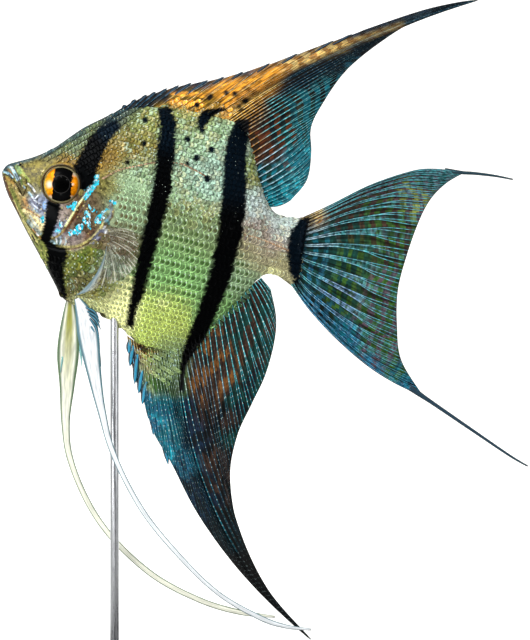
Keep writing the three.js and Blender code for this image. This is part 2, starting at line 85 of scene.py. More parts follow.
# The body from snout to tail: top edge x, z; bottom edge x, z; half width there.
BODY = [
    (-65.2, 118, -65.9, 116.8, 0.9), (-64.2, 119.1, -65.6, 115, 1.9), (-62.2, 119.8, -64.4, 111.2, 2.8),
    (-59.2, 120.6, -62.2, 106.8, 3.7), (-55.8, 121.8, -60, 102.4, 4.6), (-52.2, 123.6, -57.8, 98.3, 5.3),
    (-48.8, 126, -55.4, 94, 5.9), (-45.2, 128.4, -53, 89.5, 6.3), (-41.2, 130.4, -50.6, 85.2, 6.6),
    (-36.8, 132.4, -46.4, 82.9, 6.9), (-31.8, 133.3, -41.2, 81.3, 7), (-26.2, 133.6, -36.2, 77.9, 6.9),
    (-20.8, 133, -30.5, 72.9, 6.6), (-15, 132, -25, 71.6, 6.2), (-9.2, 130.6, -19.2, 73.5, 5.6),
    (-5, 127.6, -13.8, 77.8, 4.9), (-3, 121.8, -8.8, 82.6, 4.2), (-1.2, 115, -4.5, 87.2, 3.6),
    (1.2, 108.7, -0.8, 90.7, 3.1), (4.5, 106.1, 2.2, 91.1, 2.7), (8, 105.8, 5.2, 89.3, 2.3),
    (10.8, 106.3, 8, 87, 1.6),
]
WIDEST = 0.56  # where a section is widest, as a share of its height
EDGE_POWER = (0.5, 0.7)  # how full a section is at the snout, and from the gills back
SNOUT_ROUND = 0.03  # share of the length over which each end closes

# Free tips of the first anal spines: x, z where each leaves the fin and x, z of its tip.
ANAL_SPINES = [
    (-33.6, 75.2, -34.1, 71.6), (-32.8, 73.8, -33.8, 68.4), (-31.8, 71.6, -32.6, 64),
    (-30.6, 67.4, -31.6, 61.6), (-29.6, 64.8, -30.7, 58.9), (-28.6, 62, -29.2, 55.4),
    (-27.4, 58.8, -28, 51.2), (-25.8, 53.4, -24.2, 43.8),
]
# Fin rays, front to rear: x, z of the root, the middle and the tip.
DORSAL_RAYS = [
    (-38, 131, -37.5, 131.9, -37, 132.4), (-34.5, 132.2, -32.8, 133.9, -31, 135.9),
    (-28.8, 133, -25.5, 135.6, -21.6, 138.8), (-21.8, 132.4, -16.8, 136.4, -10.2, 140.9),
    (-16.2, 131.5, -8.2, 137.5, 1.2, 144.2), (-12.8, 130.8, 1.2, 140, 17.5, 149.9),
    (-11.5, 130.4, 13.8, 145.1, 40, 157.5), (-10, 129.9, 19.2, 147.3, 53.2, 159.8),
    (-8.5, 129.2, 13.2, 142.5, 38.8, 155.1), (-6.8, 128.5, 10.9, 139.4, 30.1, 150.3),
    (-4.5, 127.2, 7.9, 134.8, 20.3, 142.4), (-3.5, 122.5, 5.1, 128, 13.8, 133.1),
    (-2.5, 117.5, 5, 122.4, 11.5, 127.8), (-0.8, 113, 5.8, 116.8, 11.6, 121.8),
    (0.8, 110, 6.2, 112.5, 10.5, 115), (1.5, 108.2, 4, 108.6, 6.5, 109.9),
]
ANAL_RAYS = [
    (-34.5, 76, -34.2, 73.8, -34.1, 71.8), (-33.5, 75, -33, 69.8, -32.2, 64.2),
    (-32, 74, -30.8, 66.8, -30.4, 59.2), (-30.2, 73.2, -29.2, 62.5, -27.8, 51.8),
    (-28.2, 72.8, -25.5, 57.5, -23.5, 44.5), (-26.2, 72.5, -22.2, 53, -17, 32),
    (-24.2, 72.5, -18.6, 45, -8.2, 19.6), (-23, 72.6, -15.3, 38, 1.6, 8.9),
    (-22.2, 72.8, -12.6, 31.8, 11.5, 0.2), (-20.2, 73.2, -11.6, 38.2, 1, 12.3),
    (-17.8, 74.8, -12.4, 50, -6.4, 27.4), (-15, 76.8, -12.2, 57.5, -8.7, 40.5),
    (-11.8, 79.5, -9.5, 65, -7, 50.8), (-8.8, 82.2, -6, 69.8, -3.2, 59.2), (-6, 85.2, -2.8, 75, 0, 66),
    (-3.5, 87.8, -0.2, 80.5, 2.2, 73.8), (-1.8, 89.5, 0.8, 85.5, 2.8, 80.5),
    (-0.8, 90.5, 0.2, 89.2, 1.4, 87.8),
]
# Ray numbers along each table: (rays counted from the front, share of the table there).
BACK_SPINES = [row / 15 for row in (
    0.46, 0.82, 1.17, 1.42, 1.71, 2, 2.29, 2.65, 3, 3.44, 4, 4.46, 4.98, 5.2)]
DORSAL_COUNT = [(0, 0), *((k + 0.5, share) for k, share in enumerate(BACK_SPINES)), (21, 7 / 15),
                (27, 9.5 / 15),
                (45, 1)]
ANAL_COUNT = [(0, 0), (7, 3 / 17), (21, 8 / 17), (44, 1)]
DORSAL_WAVE = (1.3, 1.6, 0.4)  # height, turns and phase of the slow bends across a fin
ANAL_WAVE = (1.6, 1.3, 2.2)
TAIL_WAVE = (1.2, 1.1, 0.9)

# The tail fin by its four edges: x, z.
TAIL_ROOT = [(9.6, 105.8), (9.4, 101.2), (8.5, 95.5), (7.6, 87.2)]
TAIL_UPPER = [(9.6, 105.8), (16.2, 108.8), (26.2, 113.8), (36.2, 117.2), (42, 117.9), (50.4, 117.1)]
TAIL_LOWER = [(7.6, 87.2), (11.1, 82.4), (17.3, 75.7), (24.8, 69.1), (31.8, 64.5), (40, 60.5)]
TAIL_REAR = [
    (50.4, 117.1), (45.5, 114.3), (41.3, 110), (38.2, 104), (35.2, 95.5), (33.2, 87.5), (33, 78.8),
    (34.2, 69.8), (40, 60.5),
]
TAIL_RAYS = 17

# Streamers and feelers: x, y, z of the centre line and the width there.
STREAMERS = {
    "tail_streamer_upper": [(45, 0.9, 117.5, 1.2), (49.4, 0.94, 116.9, 0.9), (52.5, 0.94, 116.7, 0.8),
                            (57.5, 0.94, 116.1, 0.6), (62.1, 0.94, 115.2, 0.4)],
    "tail_streamer_lower": [(36, 1, 63.3, 1.6), (38.6, 1.05, 61.5, 1.3), (42, 1.05, 59.2, 1),
                            (51.2, 1.05, 52.9, 0.8), (61.2, 1.05, 46.1, 0.6), (65.8, 1.05, 43.4, 0.4)],
}
PELVIC_LEFT = [
    (-46.9, -1.7, 85.4, 1.4), (-44.8, -2.2, 80.6, 4.8), (-43.8, -2.7, 75, 5.2), (-42.6, -3.3, 67.5, 3.7),
    (-40.6, -3.9, 57.5, 2.1), (-37.4, -4.4, 46.2, 1.4), (-30.2, -4.8, 32.5, 1.3), (-20.6, -5, 20.8, 1.2),
    (-11.2, -4.7, 11.9, 1.1), (-1.2, -4.3, 6.1, 1.3), (5.2, -4, 3.9, 1), (11.4, -3.8, 3.1, 0.5),
]
PELVIC_RIGHT = [
    (-48.9, 1.7, 85.6, 1.6), (-49.1, 2.4, 78.5, 4.5), (-49.5, 3.1, 71.5, 5.5), (-49.8, 3.8, 63.4, 3.8),
    (-50.2, 4.3, 53.8, 2.1), (-49, 4.7, 44.7, 1.6), (-44.4, 5, 33.6, 1.5), (-37.8, 5.1, 24.3, 1.5),
    (-27.7, 5, 15.3, 1.5), (-16.1, 4.6, 9.3, 1.4), (-6.2, 4.2, 6.4, 1.3), (2.5, 4, 5.3, 0.5),
]
PECTORAL_RAYS = [
    (-40.2, 102.2, -36, 102.8, -32.2, 102), (-39.8, 101, -35.2, 100, -31.2, 97.5),
    (-39.5, 99.8, -35.2, 96.5, -32, 93), (-39.2, 98.8, -37, 94.2, -35.8, 89.8),
    (-39.1, 98.8, -39.4, 93.2, -41.2, 87.8), (-39.2, 98.6, -41.6, 91.6, -46.7, 85.9),
]
WELD = 3e-7  # metres within which the points of a sheet are one
EYE_AT = (-50.5, 3.7, 113.6)  # centre of the left eyeball, with y as a distance from the middle
EYE_RING = (0.00486, 0.00018, 0.0004, 0.0016)  # metres: its radius, half width, half depth and place outwards

# ---- Markings and zones of colour, in mm ---------------------------------------------------------

# Outlines of the black bars and the shoulder wedge: x, z.
BARS = [
    [(-37.2, 130), (-41.4, 127.9), (-43.9, 125.3), (-45.2, 122.3), (-47.6, 117.8), (-48, 116.4),
     (-46.4, 112.6), (-44.2, 112), (-42.4, 113.8), (-41.6, 117.2), (-39.6, 122.3), (-37.9, 125.3),
     (-35.8, 128)],
    [(-53.8, 110.5), (-54.5, 106.2), (-55.2, 102), (-55.8, 100), (-54.2, 98.2), (-54.5, 94.5), (-53.8, 90.5),
     (-51.8, 87.5), (-50, 85.2), (-49.4, 86), (-49.9, 88.8), (-49.9, 93), (-48.8, 97.3), (-53.2, 99.5),
     (-52, 103), (-51, 105.8), (-50.2, 110.5)],
    [(-26.8, 133), (-26.2, 127.5), (-26.8, 122.5), (-27.2, 117.5), (-27.8, 112.5), (-28.8, 108.2),
     (-30.5, 100.8), (-31.8, 93.8), (-33.5, 86.2), (-34.2, 81.2), (-34.8, 78.2), (-32.8, 78.2), (-32, 82),
     (-29.8, 87), (-28, 93.8), (-25.5, 102.5), (-24.2, 107.5), (-23, 112.5), (-22.8, 117), (-22.2, 120.5),
     (-22, 128.8), (-23.2, 133)],
    [(-7.2, 130.2), (-9.5, 125), (-10.2, 120), (-10.8, 110), (-11.6, 101.5), (-12.8, 96), (-14.2, 90),
     (-17.5, 80.2), (-19.8, 75), (-21.2, 70), (-21.5, 62), (-20.5, 62), (-19.8, 67.5), (-18.8, 70),
     (-15.2, 75), (-12.5, 80.2), (-8.5, 90), (-7, 96), (-5.4, 101.5), (-4.8, 107.5), (-4.4, 113.5),
     (-4.6, 121.2), (-3.8, 128.8), (-3.8, 130.2)],
    [(11.9, 106.2), (9.6, 106.4), (8.2, 104.6), (7, 102.8), (6.1, 100.9), (5.7, 98.4), (5.6, 95.4), (6, 92.4),
     (6.9, 90), (7.6, 86.6), (8.9, 86.6), (9, 91), (9.5, 94.5), (10.3, 97.8), (11, 101.6), (11.8, 104.4)],
    [(-15.4, 132.4), (-10.2, 133.2), (-9.6, 132.6), (-12.6, 131.2), (-14.4, 129), (-15.6, 126.4),
     (-16.8, 127.2), (-16.8, 130.8)],
]
# Colour of the bars: for each hue its zones, as x, z, reach.
NIGHT_ZONES = {
    "bar_black": [(-46, 117, 3), (-43.6, 121.5, 2), (-52, 98, 5), (-30, 100, 9), (-17, 85, 9), (-9, 104, 3)],
    "midnight": [(-39, 128, 1.6), (-25, 130, 3), (-7.6, 118, 5), (8.5, 97, 4)],
}
# Small black spots: x, z, radius.
SPOTS = [
    (-29.8, 129.8, 0.62), (-30, 123.7, 0.6), (-34, 119, 0.42), (-19.2, 124.9, 0.62), (-13.3, 122.3, 0.72),
    (-17, 120.2, 0.75), (-19.3, 118.8, 0.45), (-14.3, 115, 0.8), (-17, 133.8, 0.55), (-14, 135.5, 0.5),
    (-13.5, 135.9, 0.5), (-9.7, 136.8, 0.55), (-7.6, 136.6, 0.5), (-5.1, 134.5, 0.55), (-4.5, 134.9, 0.4),
    (-6.4, 133.3, 0.4), (-6.1, 132.5, 0.35),
]
LATERAL_LINES = [
    [(-40, 115), (-36.2, 117), (-31.2, 118.2), (-26.8, 119), (-21.2, 118.8), (-17.5, 117.2), (-14.5, 115.5)],
    [(-5, 101.2), (-0.8, 100), (3.8, 98.2), (6.2, 97)],
]
# Zones of flesh colour, which fade into each other.
FLESH_ZONES = {
    "slate": [(-62, 120, 1.2), (-55, 122, 1.4), (-47.5, 126.6, 1.3), (-58.8, 120.6, 0.9)],
    "olive": [(-59.5, 117.2, 2), (-55.5, 118, 2.2)], "nape": [(-51.5, 121.8, 1), (-49.5, 123.4, 1.3),
        (-46.2, 125.2, 1.2), (-43.6, 127.4, 1), (-41.6, 129.2, 0.8)], "midnight": [(-40, 127.6, 1.2)],
    "dusk": [(-37.4, 129.8, 2.2), (-35.4, 131, 1.8), (-33.6, 132.4, 1.3)], "meadow": [(-32.6, 130, 1),
        (-32, 129, 2.2), (-18.8, 130.4, 2.2), (-2.8, 115.4, 1.6)], "ochre": [(-35.6, 126.8, 1),
        (-57.3, 114, 1.8), (-37, 124.8, 1.2), (-33.5, 123.6, 2.8), (-39, 113, 1.6)],
    "moss": [(-61.4, 115.6, 1.4), (-60.2, 104.4, 1.2), (-56.6, 98.4, 1.6), (-53, 91.5, 2), (-51, 95, 1.6),
        (-42, 87.4, 2.4)], "sand": [(-61.8, 111, 1.8), (-59.4, 107.2, 1.4)], "lilac": [(-56.4, 108.4, 1.9),
        (-51, 102.8, 1)], "rose": [(-50.2, 105.6, 1.4), (-47.5, 100, 1.2), (0.4, 100.2, 2.6), (4.6, 99, 1.2)],
    "cream": [(-57, 104.8, 1.3)], "amber": [(-50.4, 119.6, 1), (-37.8, 120.8, 2.6)],
    "umber": [(-43.2, 107.5, 3), (-46, 103, 2.2), (-36.4, 100.6, 2.4), (-41.8, 91.6, 1.6)],
    "saffron": [(-17, 134.6, 1.6), (-11, 136.4, 1.6)], "mint": [(-33, 115.5, 2.6), (-34.5, 107, 3),
        (-18.5, 124, 3), (-22, 114, 2), (-7.4, 91.4, 2.6)], "mist": [(-39, 93.8, 1.6)],
    "loam": [(-45.2, 88.6, 1.8)], "algae": [(-43.4, 94.2, 1.8)], "lemon": [(-37, 82.6, 2.6),
        (-44.5, 83.5, 1.6), (-25.6, 84.6, 0.9), (1.6, 91.6, 0.9)], "aqua": [(-15.8, 115.5, 3.4)],
    "sage": [(-18.6, 107.4, 3), (-20.2, 101, 3.2), (-25, 73.4, 1.8)], "leaf": [(-22.5, 94.6, 3.2),
        (-23.6, 88.4, 2.4), (-12, 82, 2.6)], "lime": [(-23.8, 85.6, 1.6), (-26, 82, 2.8), (-27.6, 77.2, 2.4)],
    "pearl": [(3.8, 103.8, 1.8), (-2.2, 110, 2), (5.4, 100.8, 0.9)], "straw": [(-3.6, 96.6, 2.4),
        (3.2, 94.2, 1.8)],
}
# Zones of colour at the centres of the scales.
CENTRE_ZONES = {
    "algae": [(-27, 79, 4), (-40, 84, 3)], "fern": [(-35, 89, 5), (-24, 92, 7), (-18, 103, 4), (-32, 129, 5),
        (-8, 90, 4)], "loam": [(-13, 104, 3), (-17, 110, 4), (-36, 100, 5), (-30, 116, 5), (3, 95, 4)],
    "bark": [(-38, 122, 5)], "moss": [(-18, 121, 6)], "mauve": [(0, 101, 4)], "navy": [(-45, 127, 4)],
}
# Patches and lines painted on the head: hue, how strongly, half width, then x, z of each point.
# The snow lines and dots are painted highlights on lips, ridges, cheek, nostril and the chest fin's
# root; the horn lines, and the bark lines along the mouth, the cheek groove and the gill cover's edge,
# are painted shade in the mouth, nostrils, creases and grooves and under the cover's edge.
HEAD_LINES = [
    ("sand", 0.7, 0.9, -64.2, 114.2, -62.8, 111.8, -61.4, 109.4),
    ("copper", 0.5, 0.4, -65, 115.4, -63.6, 115, -62, 113.4), ("copper", 0.6, 0.5, -59.8, 110, -59.2, 108.6),
    ("moss", 0.8, 0.5, -62.8, 112, -61.4, 108.4, -60, 105.6, -58.2, 102.4, -56.6, 99.4),
    ("maroon", 0.95, 0.5, -65.2, 115.6, -64.2, 112.2, -62.9, 109.4, -61.6, 106.6),
    ("moss", 0.8, 0.4, -63.2, 112.6, -62.2, 109.8, -61.3, 107.4),
    ("horn", 0.8, 0.2, -65.9, 115.8, -64.7, 112, -63.3, 108.8, -61.9, 106.2, -60.4, 103.4, -57.9, 98.6),
    ("horn", 0.85, 0.17, -61.8, 108.4, -61, 106.3, -59.6, 104.2, -58, 102.4, -56.4, 100),
    ("butter", 0.7, 0.14, -62.6, 110, -61.4, 107.2, -60, 104.6, -58.2, 101.8, -56.4, 98.8),
    ("butter", 0.65, 0.14, -60.9, 105.4, -59.4, 102.8, -57.8, 100),
    ("cream", 0.9, 0.55, -59.9, 107.4, -58.4, 106, -57, 104.6, -56, 103),
    ("pearl", 0.85, 0.22, -58.4, 105.9, -57.4, 104.4, -56.4, 103.2),
    ("copper", 0.8, 0.16, -60.2, 108.1, -58.2, 107, -56.4, 105.8, -55.4, 105.1),
    ("horn", 0.8, 0.14, -59.4, 104.4, -57.8, 102.9, -56.6, 101.2),
    ("copper", 0.85, 0.2, -57.8, 102.6, -56.4, 101, -55.4, 100),
    ("steel", 0.6, 0.5, -58.8, 104.6, -57.4, 103, -55.9, 101.6),
    ("snow", 0.9, 0.2, -56.8, 101.5, -56.4, 101.1), ("horn", 1, 0.24, -58.1, 101.2, -57.4, 99.8),
    ("cream", 0.9, 0.22, -62.1, 113.8, -61.6, 113), ("cream", 0.9, 0.22, -61.2, 111.6, -60.8, 111.2),
    ("leaf", 0.7, 0.5, -61.7, 118.2, -60.9, 116.8),
    ("lime", 0.6, 0.3, -60.7, 117.4, -59.7, 116, -58.6, 114.6), ("straw", 0.6, 0.7, -57.2, 113.4, -56.4, 112),
    ("snow", 0.8, 0.2, -61.5, 118.9, -61.2, 118.8), ("horn", 0.9, 0.2, -60.5, 118.3, -60.3, 118.1),
    ("cream", 0.9, 0.2, -55.4, 116.9, -55, 117.1),
    ("fern", 0.7, 0.4, -61.5, 116.4, -60.8, 114.8, -60.5, 113.4),
    ("snow", 0.8, 0.18, -61, 115.5, -60.8, 115.2),
    ("loam", 0.95, 0.42, -61.8, 115.6, -61.2, 114, -60.6, 112.4, -60.1, 111.4),
    ("ice", 0.95, 0.4, -64.6, 118.4, -63.8, 118.5, -62.9, 117.6, -62.1, 116.2, -61.5, 115),
    ("snow", 0.95, 0.17, -63.6, 118.4, -63.1, 117.9, -62.7, 117.2),
    ("ink", 0.8, 0.12, -62.9, 118.9, -62.2, 117.4, -61.3, 115.6, -60.8, 114.2),
    ("bark", 0.9, 0.22, -64.3, 117.7, -63.5, 116.9, -62.7, 115.9),
    ("ice", 0.95, 0.34, -66, 116.8, -65.3, 117.1, -64.1, 116.6, -62.9, 115.5),
    ("horn", 0.95, 0.14, -65.6, 116.3, -64, 116, -62.7, 115, -61.4, 113, -60.4, 111),
    ("horn", 0.9, 0.14, -62.2, 116.4, -61.4, 114.8, -60.6, 113),
    ("horn", 0.95, 0.15, -59.3, 115, -59.2, 113.2, -59.8, 111.6, -60.1, 110.9),
    ("ice", 0.85, 0.2, -60, 113.3, -59.7, 112.8),
    ("snow", 0.95, 0.17, -58.9, 113.9, -57.9, 113, -57.1, 111.9),
    ("horn", 0.8, 0.1, -58.8, 114.3, -57.7, 113.3, -56.8, 112.1),
    ("lilac", 0.85, 0.9, -57.6, 109.4, -55.4, 108.2), ("lilac", 0.8, 0.7, -57, 107.8, -55.2, 106.6),
    ("sky", 0.8, 0.4, -54.7, 109, -54.7, 107.8), ("ice", 0.7, 0.3, -58.6, 111.6, -57.8, 110.6),
    ("plum", 0.5, 0.24, -58, 110.2, -57, 108.6), ("snow", 0.8, 0.12, -57.8, 110.6, -57.2, 109.6),
    ("snow", 0.9, 0.13, -57.1, 110.1, -56.3, 110.9), ("horn", 0.8, 0.12, -56.7, 109.7, -56.1, 110.4),
    ("snow", 0.8, 0.14, -57.3, 109.7, -56.2, 109, -55.4, 108.6),
    ("horn", 0.9, 0.2, -55.8, 108.7, -55.5, 108.5),
    ("snow", 0.6, 0.13, -57.8, 108.9, -56.6, 107.9, -55.6, 107.4),
    ("ice", 0.7, 0.16, -57.4, 107.6, -56.2, 106.8), ("plum", 0.5, 0.2, -56.2, 107.9, -55.3, 107.3),
    ("snow", 0.85, 0.12, -56.6, 105.6, -55.4, 104.7), ("rose", 0.6, 0.8, -50, 106.4, -49.6, 104),
    ("lilac", 0.6, 0.6, -50.6, 102.8, -49, 104.6),
    ("bark", 0.9, 0.34, -45.4, 109, -47.1, 106, -48.7, 103.4, -49.9, 101.8),
    ("lemon", 0.95, 0.24, -45, 110.2, -46.6, 107.9, -48.2, 105.2, -49.6, 103),
    ("sand", 0.95, 0.24, -49.6, 103, -50.6, 101.4, -52, 100.5, -53.4, 100),
    ("olive", 0.8, 0.5, -45.3, 113, -45.7, 111.2), ("rose", 0.7, 0.7, -50.4, 99.4, -47.4, 99.8, -45, 101),
    ("plum", 0.45, 0.5, -48.6, 99.6, -46.6, 100.2), ("ice", 0.8, 0.3, -53.6, 99.2, -52.8, 99.6, -52.2, 98.9),
    ("snow", 0.7, 0.16, -51.8, 100.2, -51.6, 99), ("deep", 0.6, 0.3, -51.2, 100, -51.3, 99),
    ("ice", 0.7, 0.16, -50.7, 100.6, -50.6, 99.6, -51, 98.7),
    ("ice", 0.6, 0.14, -49.6, 100.4, -49.3, 99.4, -49.7, 98.6),
    ("maroon", 0.5, 0.5, -47.4, 104.6, -45.4, 106.8), ("maroon", 0.4, 0.6, -44.6, 100.6, -42.6, 102),
    ("olive", 0.7, 0.4, -49.4, 109.2, -47.8, 109.9),
    ("lilac", 0.7, 0.3, -38.3, 109, -38.1, 106.2, -39.6, 104.2),
    ("bark", 0.8, 0.18, -37.8, 109, -37.5, 106, -39, 103.7, -41.1, 101.4, -43.8, 99, -47.5, 97.6, -51.2,
     97.6),
    ("butter", 0.95, 0.22, -39.9, 103.9, -41.2, 102.2, -42.6, 100.6, -44.4, 99.2, -46.6, 98.3, -49, 98.1,
     -52.4, 98.3),
    ("lilac", 0.8, 0.8, -42.2, 99.6, -40.4, 101.8), ("plum", 0.8, 0.3, -42, 99.2, -40.6, 100.4, -39.8, 101.6),
    ("snow", 0.9, 0.22, -39.9, 103.4, -39.5, 102.2, -39.2, 100.8),
    ("ink", 0.7, 0.2, -41.4, 100.9, -40.4, 101.6), ("snow", 0.8, 0.18, -43.2, 99.2, -42.2, 99.9),
    ("ink", 0.7, 0.16, -39.2, 99.4, -38.4, 98), ("lagoon", 0.7, 0.3, -39.2, 104.6, -38.4, 103.8),
    ("horn", 0.9, 0.1, -39.6, 104, -38.3, 103.4),
]
# Bright blue flecks on cheek and gill cover: how many of the flecks shine, half width, then x, z of
# each point.
FLECKS = [
    (1, 0.5, -41.7, 115.2, -41.8, 113.9, -43, 112.3), (1, 0.42, -43, 112.4, -44.4, 110.3),
    (0.8, 0.3, -44.4, 112.4, -43.4, 113), (1, 0.4, -47.1, 108.9, -47.5, 107.5),
    (0.7, 0.25, -48.9, 108.1, -48.4, 108), (1, 0.4, -44.1, 106.7, -43.6, 105.4),
    (1, 0.32, -44.8, 105.2, -44.3, 104), (1, 0.32, -43.7, 104.2, -43.4, 103),
    (1, 0.3, -39.3, 107.3, -40.2, 106.2), (1, 0.6, -40.4, 105.6, -41.4, 104.4),
    (1, 0.6, -45.8, 103.2, -46.4, 102), (1, 0.5, -46.6, 101.8, -48.2, 101.5),
    (1, 0.3, -37.8, 109.5, -37.2, 108.9), (0.8, 0.3, -50.7, 104.2, -50.4, 103.2),
    (1, 0.35, -51.7, 102.1, -51, 102), (1, 0.35, -55.3, 105.3, -55.2, 104.6),
    (0.45, 0.35, -43.4, 108, -42, 106.8),
]


def zone_line(start, end, count, reach):
    """A row of equal zones from start to end."""
    (x0, z0), (x1, z1) = start, end
    return [(x0 + (x1 - x0) * k / (count - 1), z0 + (z1 - z0) * k / (count - 1), reach) for k in range(count)]


# Zones of fin colour, for the hues of membrane, ray and cross bands.
DORSAL_ZONES = {
    "ink marine ink": [(-34, 133.5, 1.6), (-28, 136, 1.4)],
    "navy steel ink": [*zone_line((-21.6, 138.2), (-10.2, 140.4), 9, 0.7),
        *zone_line((-9, 140.7), (1.2, 143.7), 9, 0.65), *zone_line((2.4, 144.1), (17.5, 149.4), 14, 0.6),
        *zone_line((18.6, 149.8), (40, 156.9), 20, 0.55)], "ink marine pitch": [(46, 159.4, 1.4)],
    "amber gilt amber": [(-26.4, 133.2, 0.7), (-13, 133.4, 1.2)], "saffron gilt amber": [(-19, 135.2, 1.6)],
    "saffron wheat saffron": [(-9, 138.4, 2.2), (1, 142.2, 2.1)],
    "wheat cream copper": [*zone_line((5, 143.6), (20, 148.8), 13, 0.85),
        *zone_line((21, 149.2), (34, 153.7), 13, 0.48)], "copper gilt bark": [(-5, 135, 1.6)],
    "bark gilt bark": [(2, 139.4, 1.3)], "pitch marine ink": [*zone_line((5, 138), (20, 146.2), 12, 1.3),
        *zone_line((22, 147.6), (40, 154.8), 14, 0.95)], "marine reef ink": [(22, 143.6, 1.2),
        (32, 150.6, 0.8)], "horn copper pitch": [(-1.5, 131, 1.4)],
    "maroon copper horn": [(-2.5, 124.5, 1.8)], "ink reef maroon": [(2, 128.5, 1.9)],
    "pitch reef horn": [(5, 132.6, 1.9)], "deep reef horn": [(8, 135, 1.8)],
    "deep reef pitch": [(15, 138.2, 1.8)], "pine reef maroon": [(6, 126.6, 1.6)],
    "deep reef pine": [(11, 131, 2.2)], "umbra ice maroon": [(1.6, 121.6, 1.2)],
    "pine ice deep": [(2.5, 116.5, 1.6)], "deep lagoon deep": [(8.5, 119, 2)],
    "deep reef maroon": [(6, 118, 1.2)], "deep reef lagoon": [(7, 113.4, 2.4)],
    "deep lagoon pine": [(10, 126, 1.6)], "deep lagoon lagoon": [(5, 110.5, 2), (11.8, 122, 1.6)],
}
ANAL_ZONES = {
    "marine azure rust": [(-33.5, 71, 1.2)], "lagoon azure deep": [(-32.2, 66, 1), (-24.6, 47, 1.2)],
    "marine azure deep": [(-30.4, 60.5, 1)], "marine azure lagoon": [(-27.6, 54, 1)],
    "bark wheat rust": [(-31, 73, 1.4)], "straw cream sage": [(-29.4, 67.6, 1.2)],
    "sage mint fern": [(-26, 66, 2.2)], "fern mint pine": [(-23.2, 64, 1.6)],
    "deep lagoon marine": [(-25.4, 59, 1.4)], "deep reef marine": [(-23.4, 52, 1.4)],
    "marine lagoon navy": [(-20.4, 44, 1.6)], "navy lagoon ink": [(-20.5, 58, 1.2)],
    "ink marine navy": [(-17.5, 52, 1.8)], "umbra steel bark": [(-14.4, 64, 2)],
    "umbra reef bark": [(-9.5, 69.5, 2.2)], "pitch marine umbra": [(-12.5, 56, 2.2), (-10.5, 38, 1.8)],
    "pine reef umbra": [(-5, 72, 2.2), (-2.4, 79, 2.2)], "pine lagoon ink": [(-6, 60, 1.8), (-3, 66, 1.6)],
    "pine lagoon pine": [(-1, 74, 1.2)], "navy deep ink": [(-16.5, 36, 2.4)],
    "ink deep pitch": [(-9, 28, 2.4)], "pitch ink pitch": [(-3, 16, 3)], "ink pitch ink": [(6, 5, 3)],
    "umbra marine pitch": [(-11.5, 46, 1.8)], "pine lagoon pitch": [(-8.4, 50, 1.6)],
}
TAIL_ZONES = {
    "rose wheat copper": [(12.5, 105.4, 1.4)], "umbra reef umbra": [(19, 108.4, 1.8)],
    "umbra reef plum": [(29, 113.4, 2.2)], "pine reef plum": [(40, 116, 2.2)],
    "pine ice deep": [(13.5, 100, 2.4)], "pine reef marine": [(12, 93, 2.4)],
    "pine reef umbra": [(20, 103, 2.6)], "pine reef forest": [(22, 95, 3)],
    "pine sky forest": [(19, 87, 2.8)], "forest reef umbra": [(30, 107.5, 2.4), (30, 98, 2.6)],
    "moss reef plum": [(37, 111.5, 2)], "forest reef plum": [(29, 88, 2.8), (27, 79, 2.6), (31.5, 72.5, 2)],
    "marine azure ink": [(13.5, 83, 1.8)], "deep azure marine": [(20.5, 76.5, 1.8)],
    "marine azure plum": [(27, 69, 1.2)], "deep azure ink": [(36, 63, 1.2)],
    "forest reef deep": [(33, 68, 1.2)],
}

# ---- Hues ---------------------------------------------------------------------------------------


def linear(code):
    """A hex sRGB colour as linear red, green and blue."""
    shares = [int(code[k:k + 2], 16) / 255 for k in (0, 2, 4)]
    return [c / 12.92 if c <= 0.04045 else ((c + 0.055) / 1.055) ** 2.4 for c in shares]


def hue(name, code, description):
    """A colour the user can change."""
    return FloatVectorProperty(name=name, description=description, subtype="COLOR", size=3,
                               min=0, max=1, default=linear(code))


def metres(name, default, description, least=0.0):
    """A size the user can change."""
    return FloatProperty(name=name, description=description, default=default, unit="LENGTH", min=least)


def watts(name, default, description):
    """The power of a lamp, which the user can change."""
    return FloatProperty(name=name, description=description, default=default, unit="POWER", min=0)


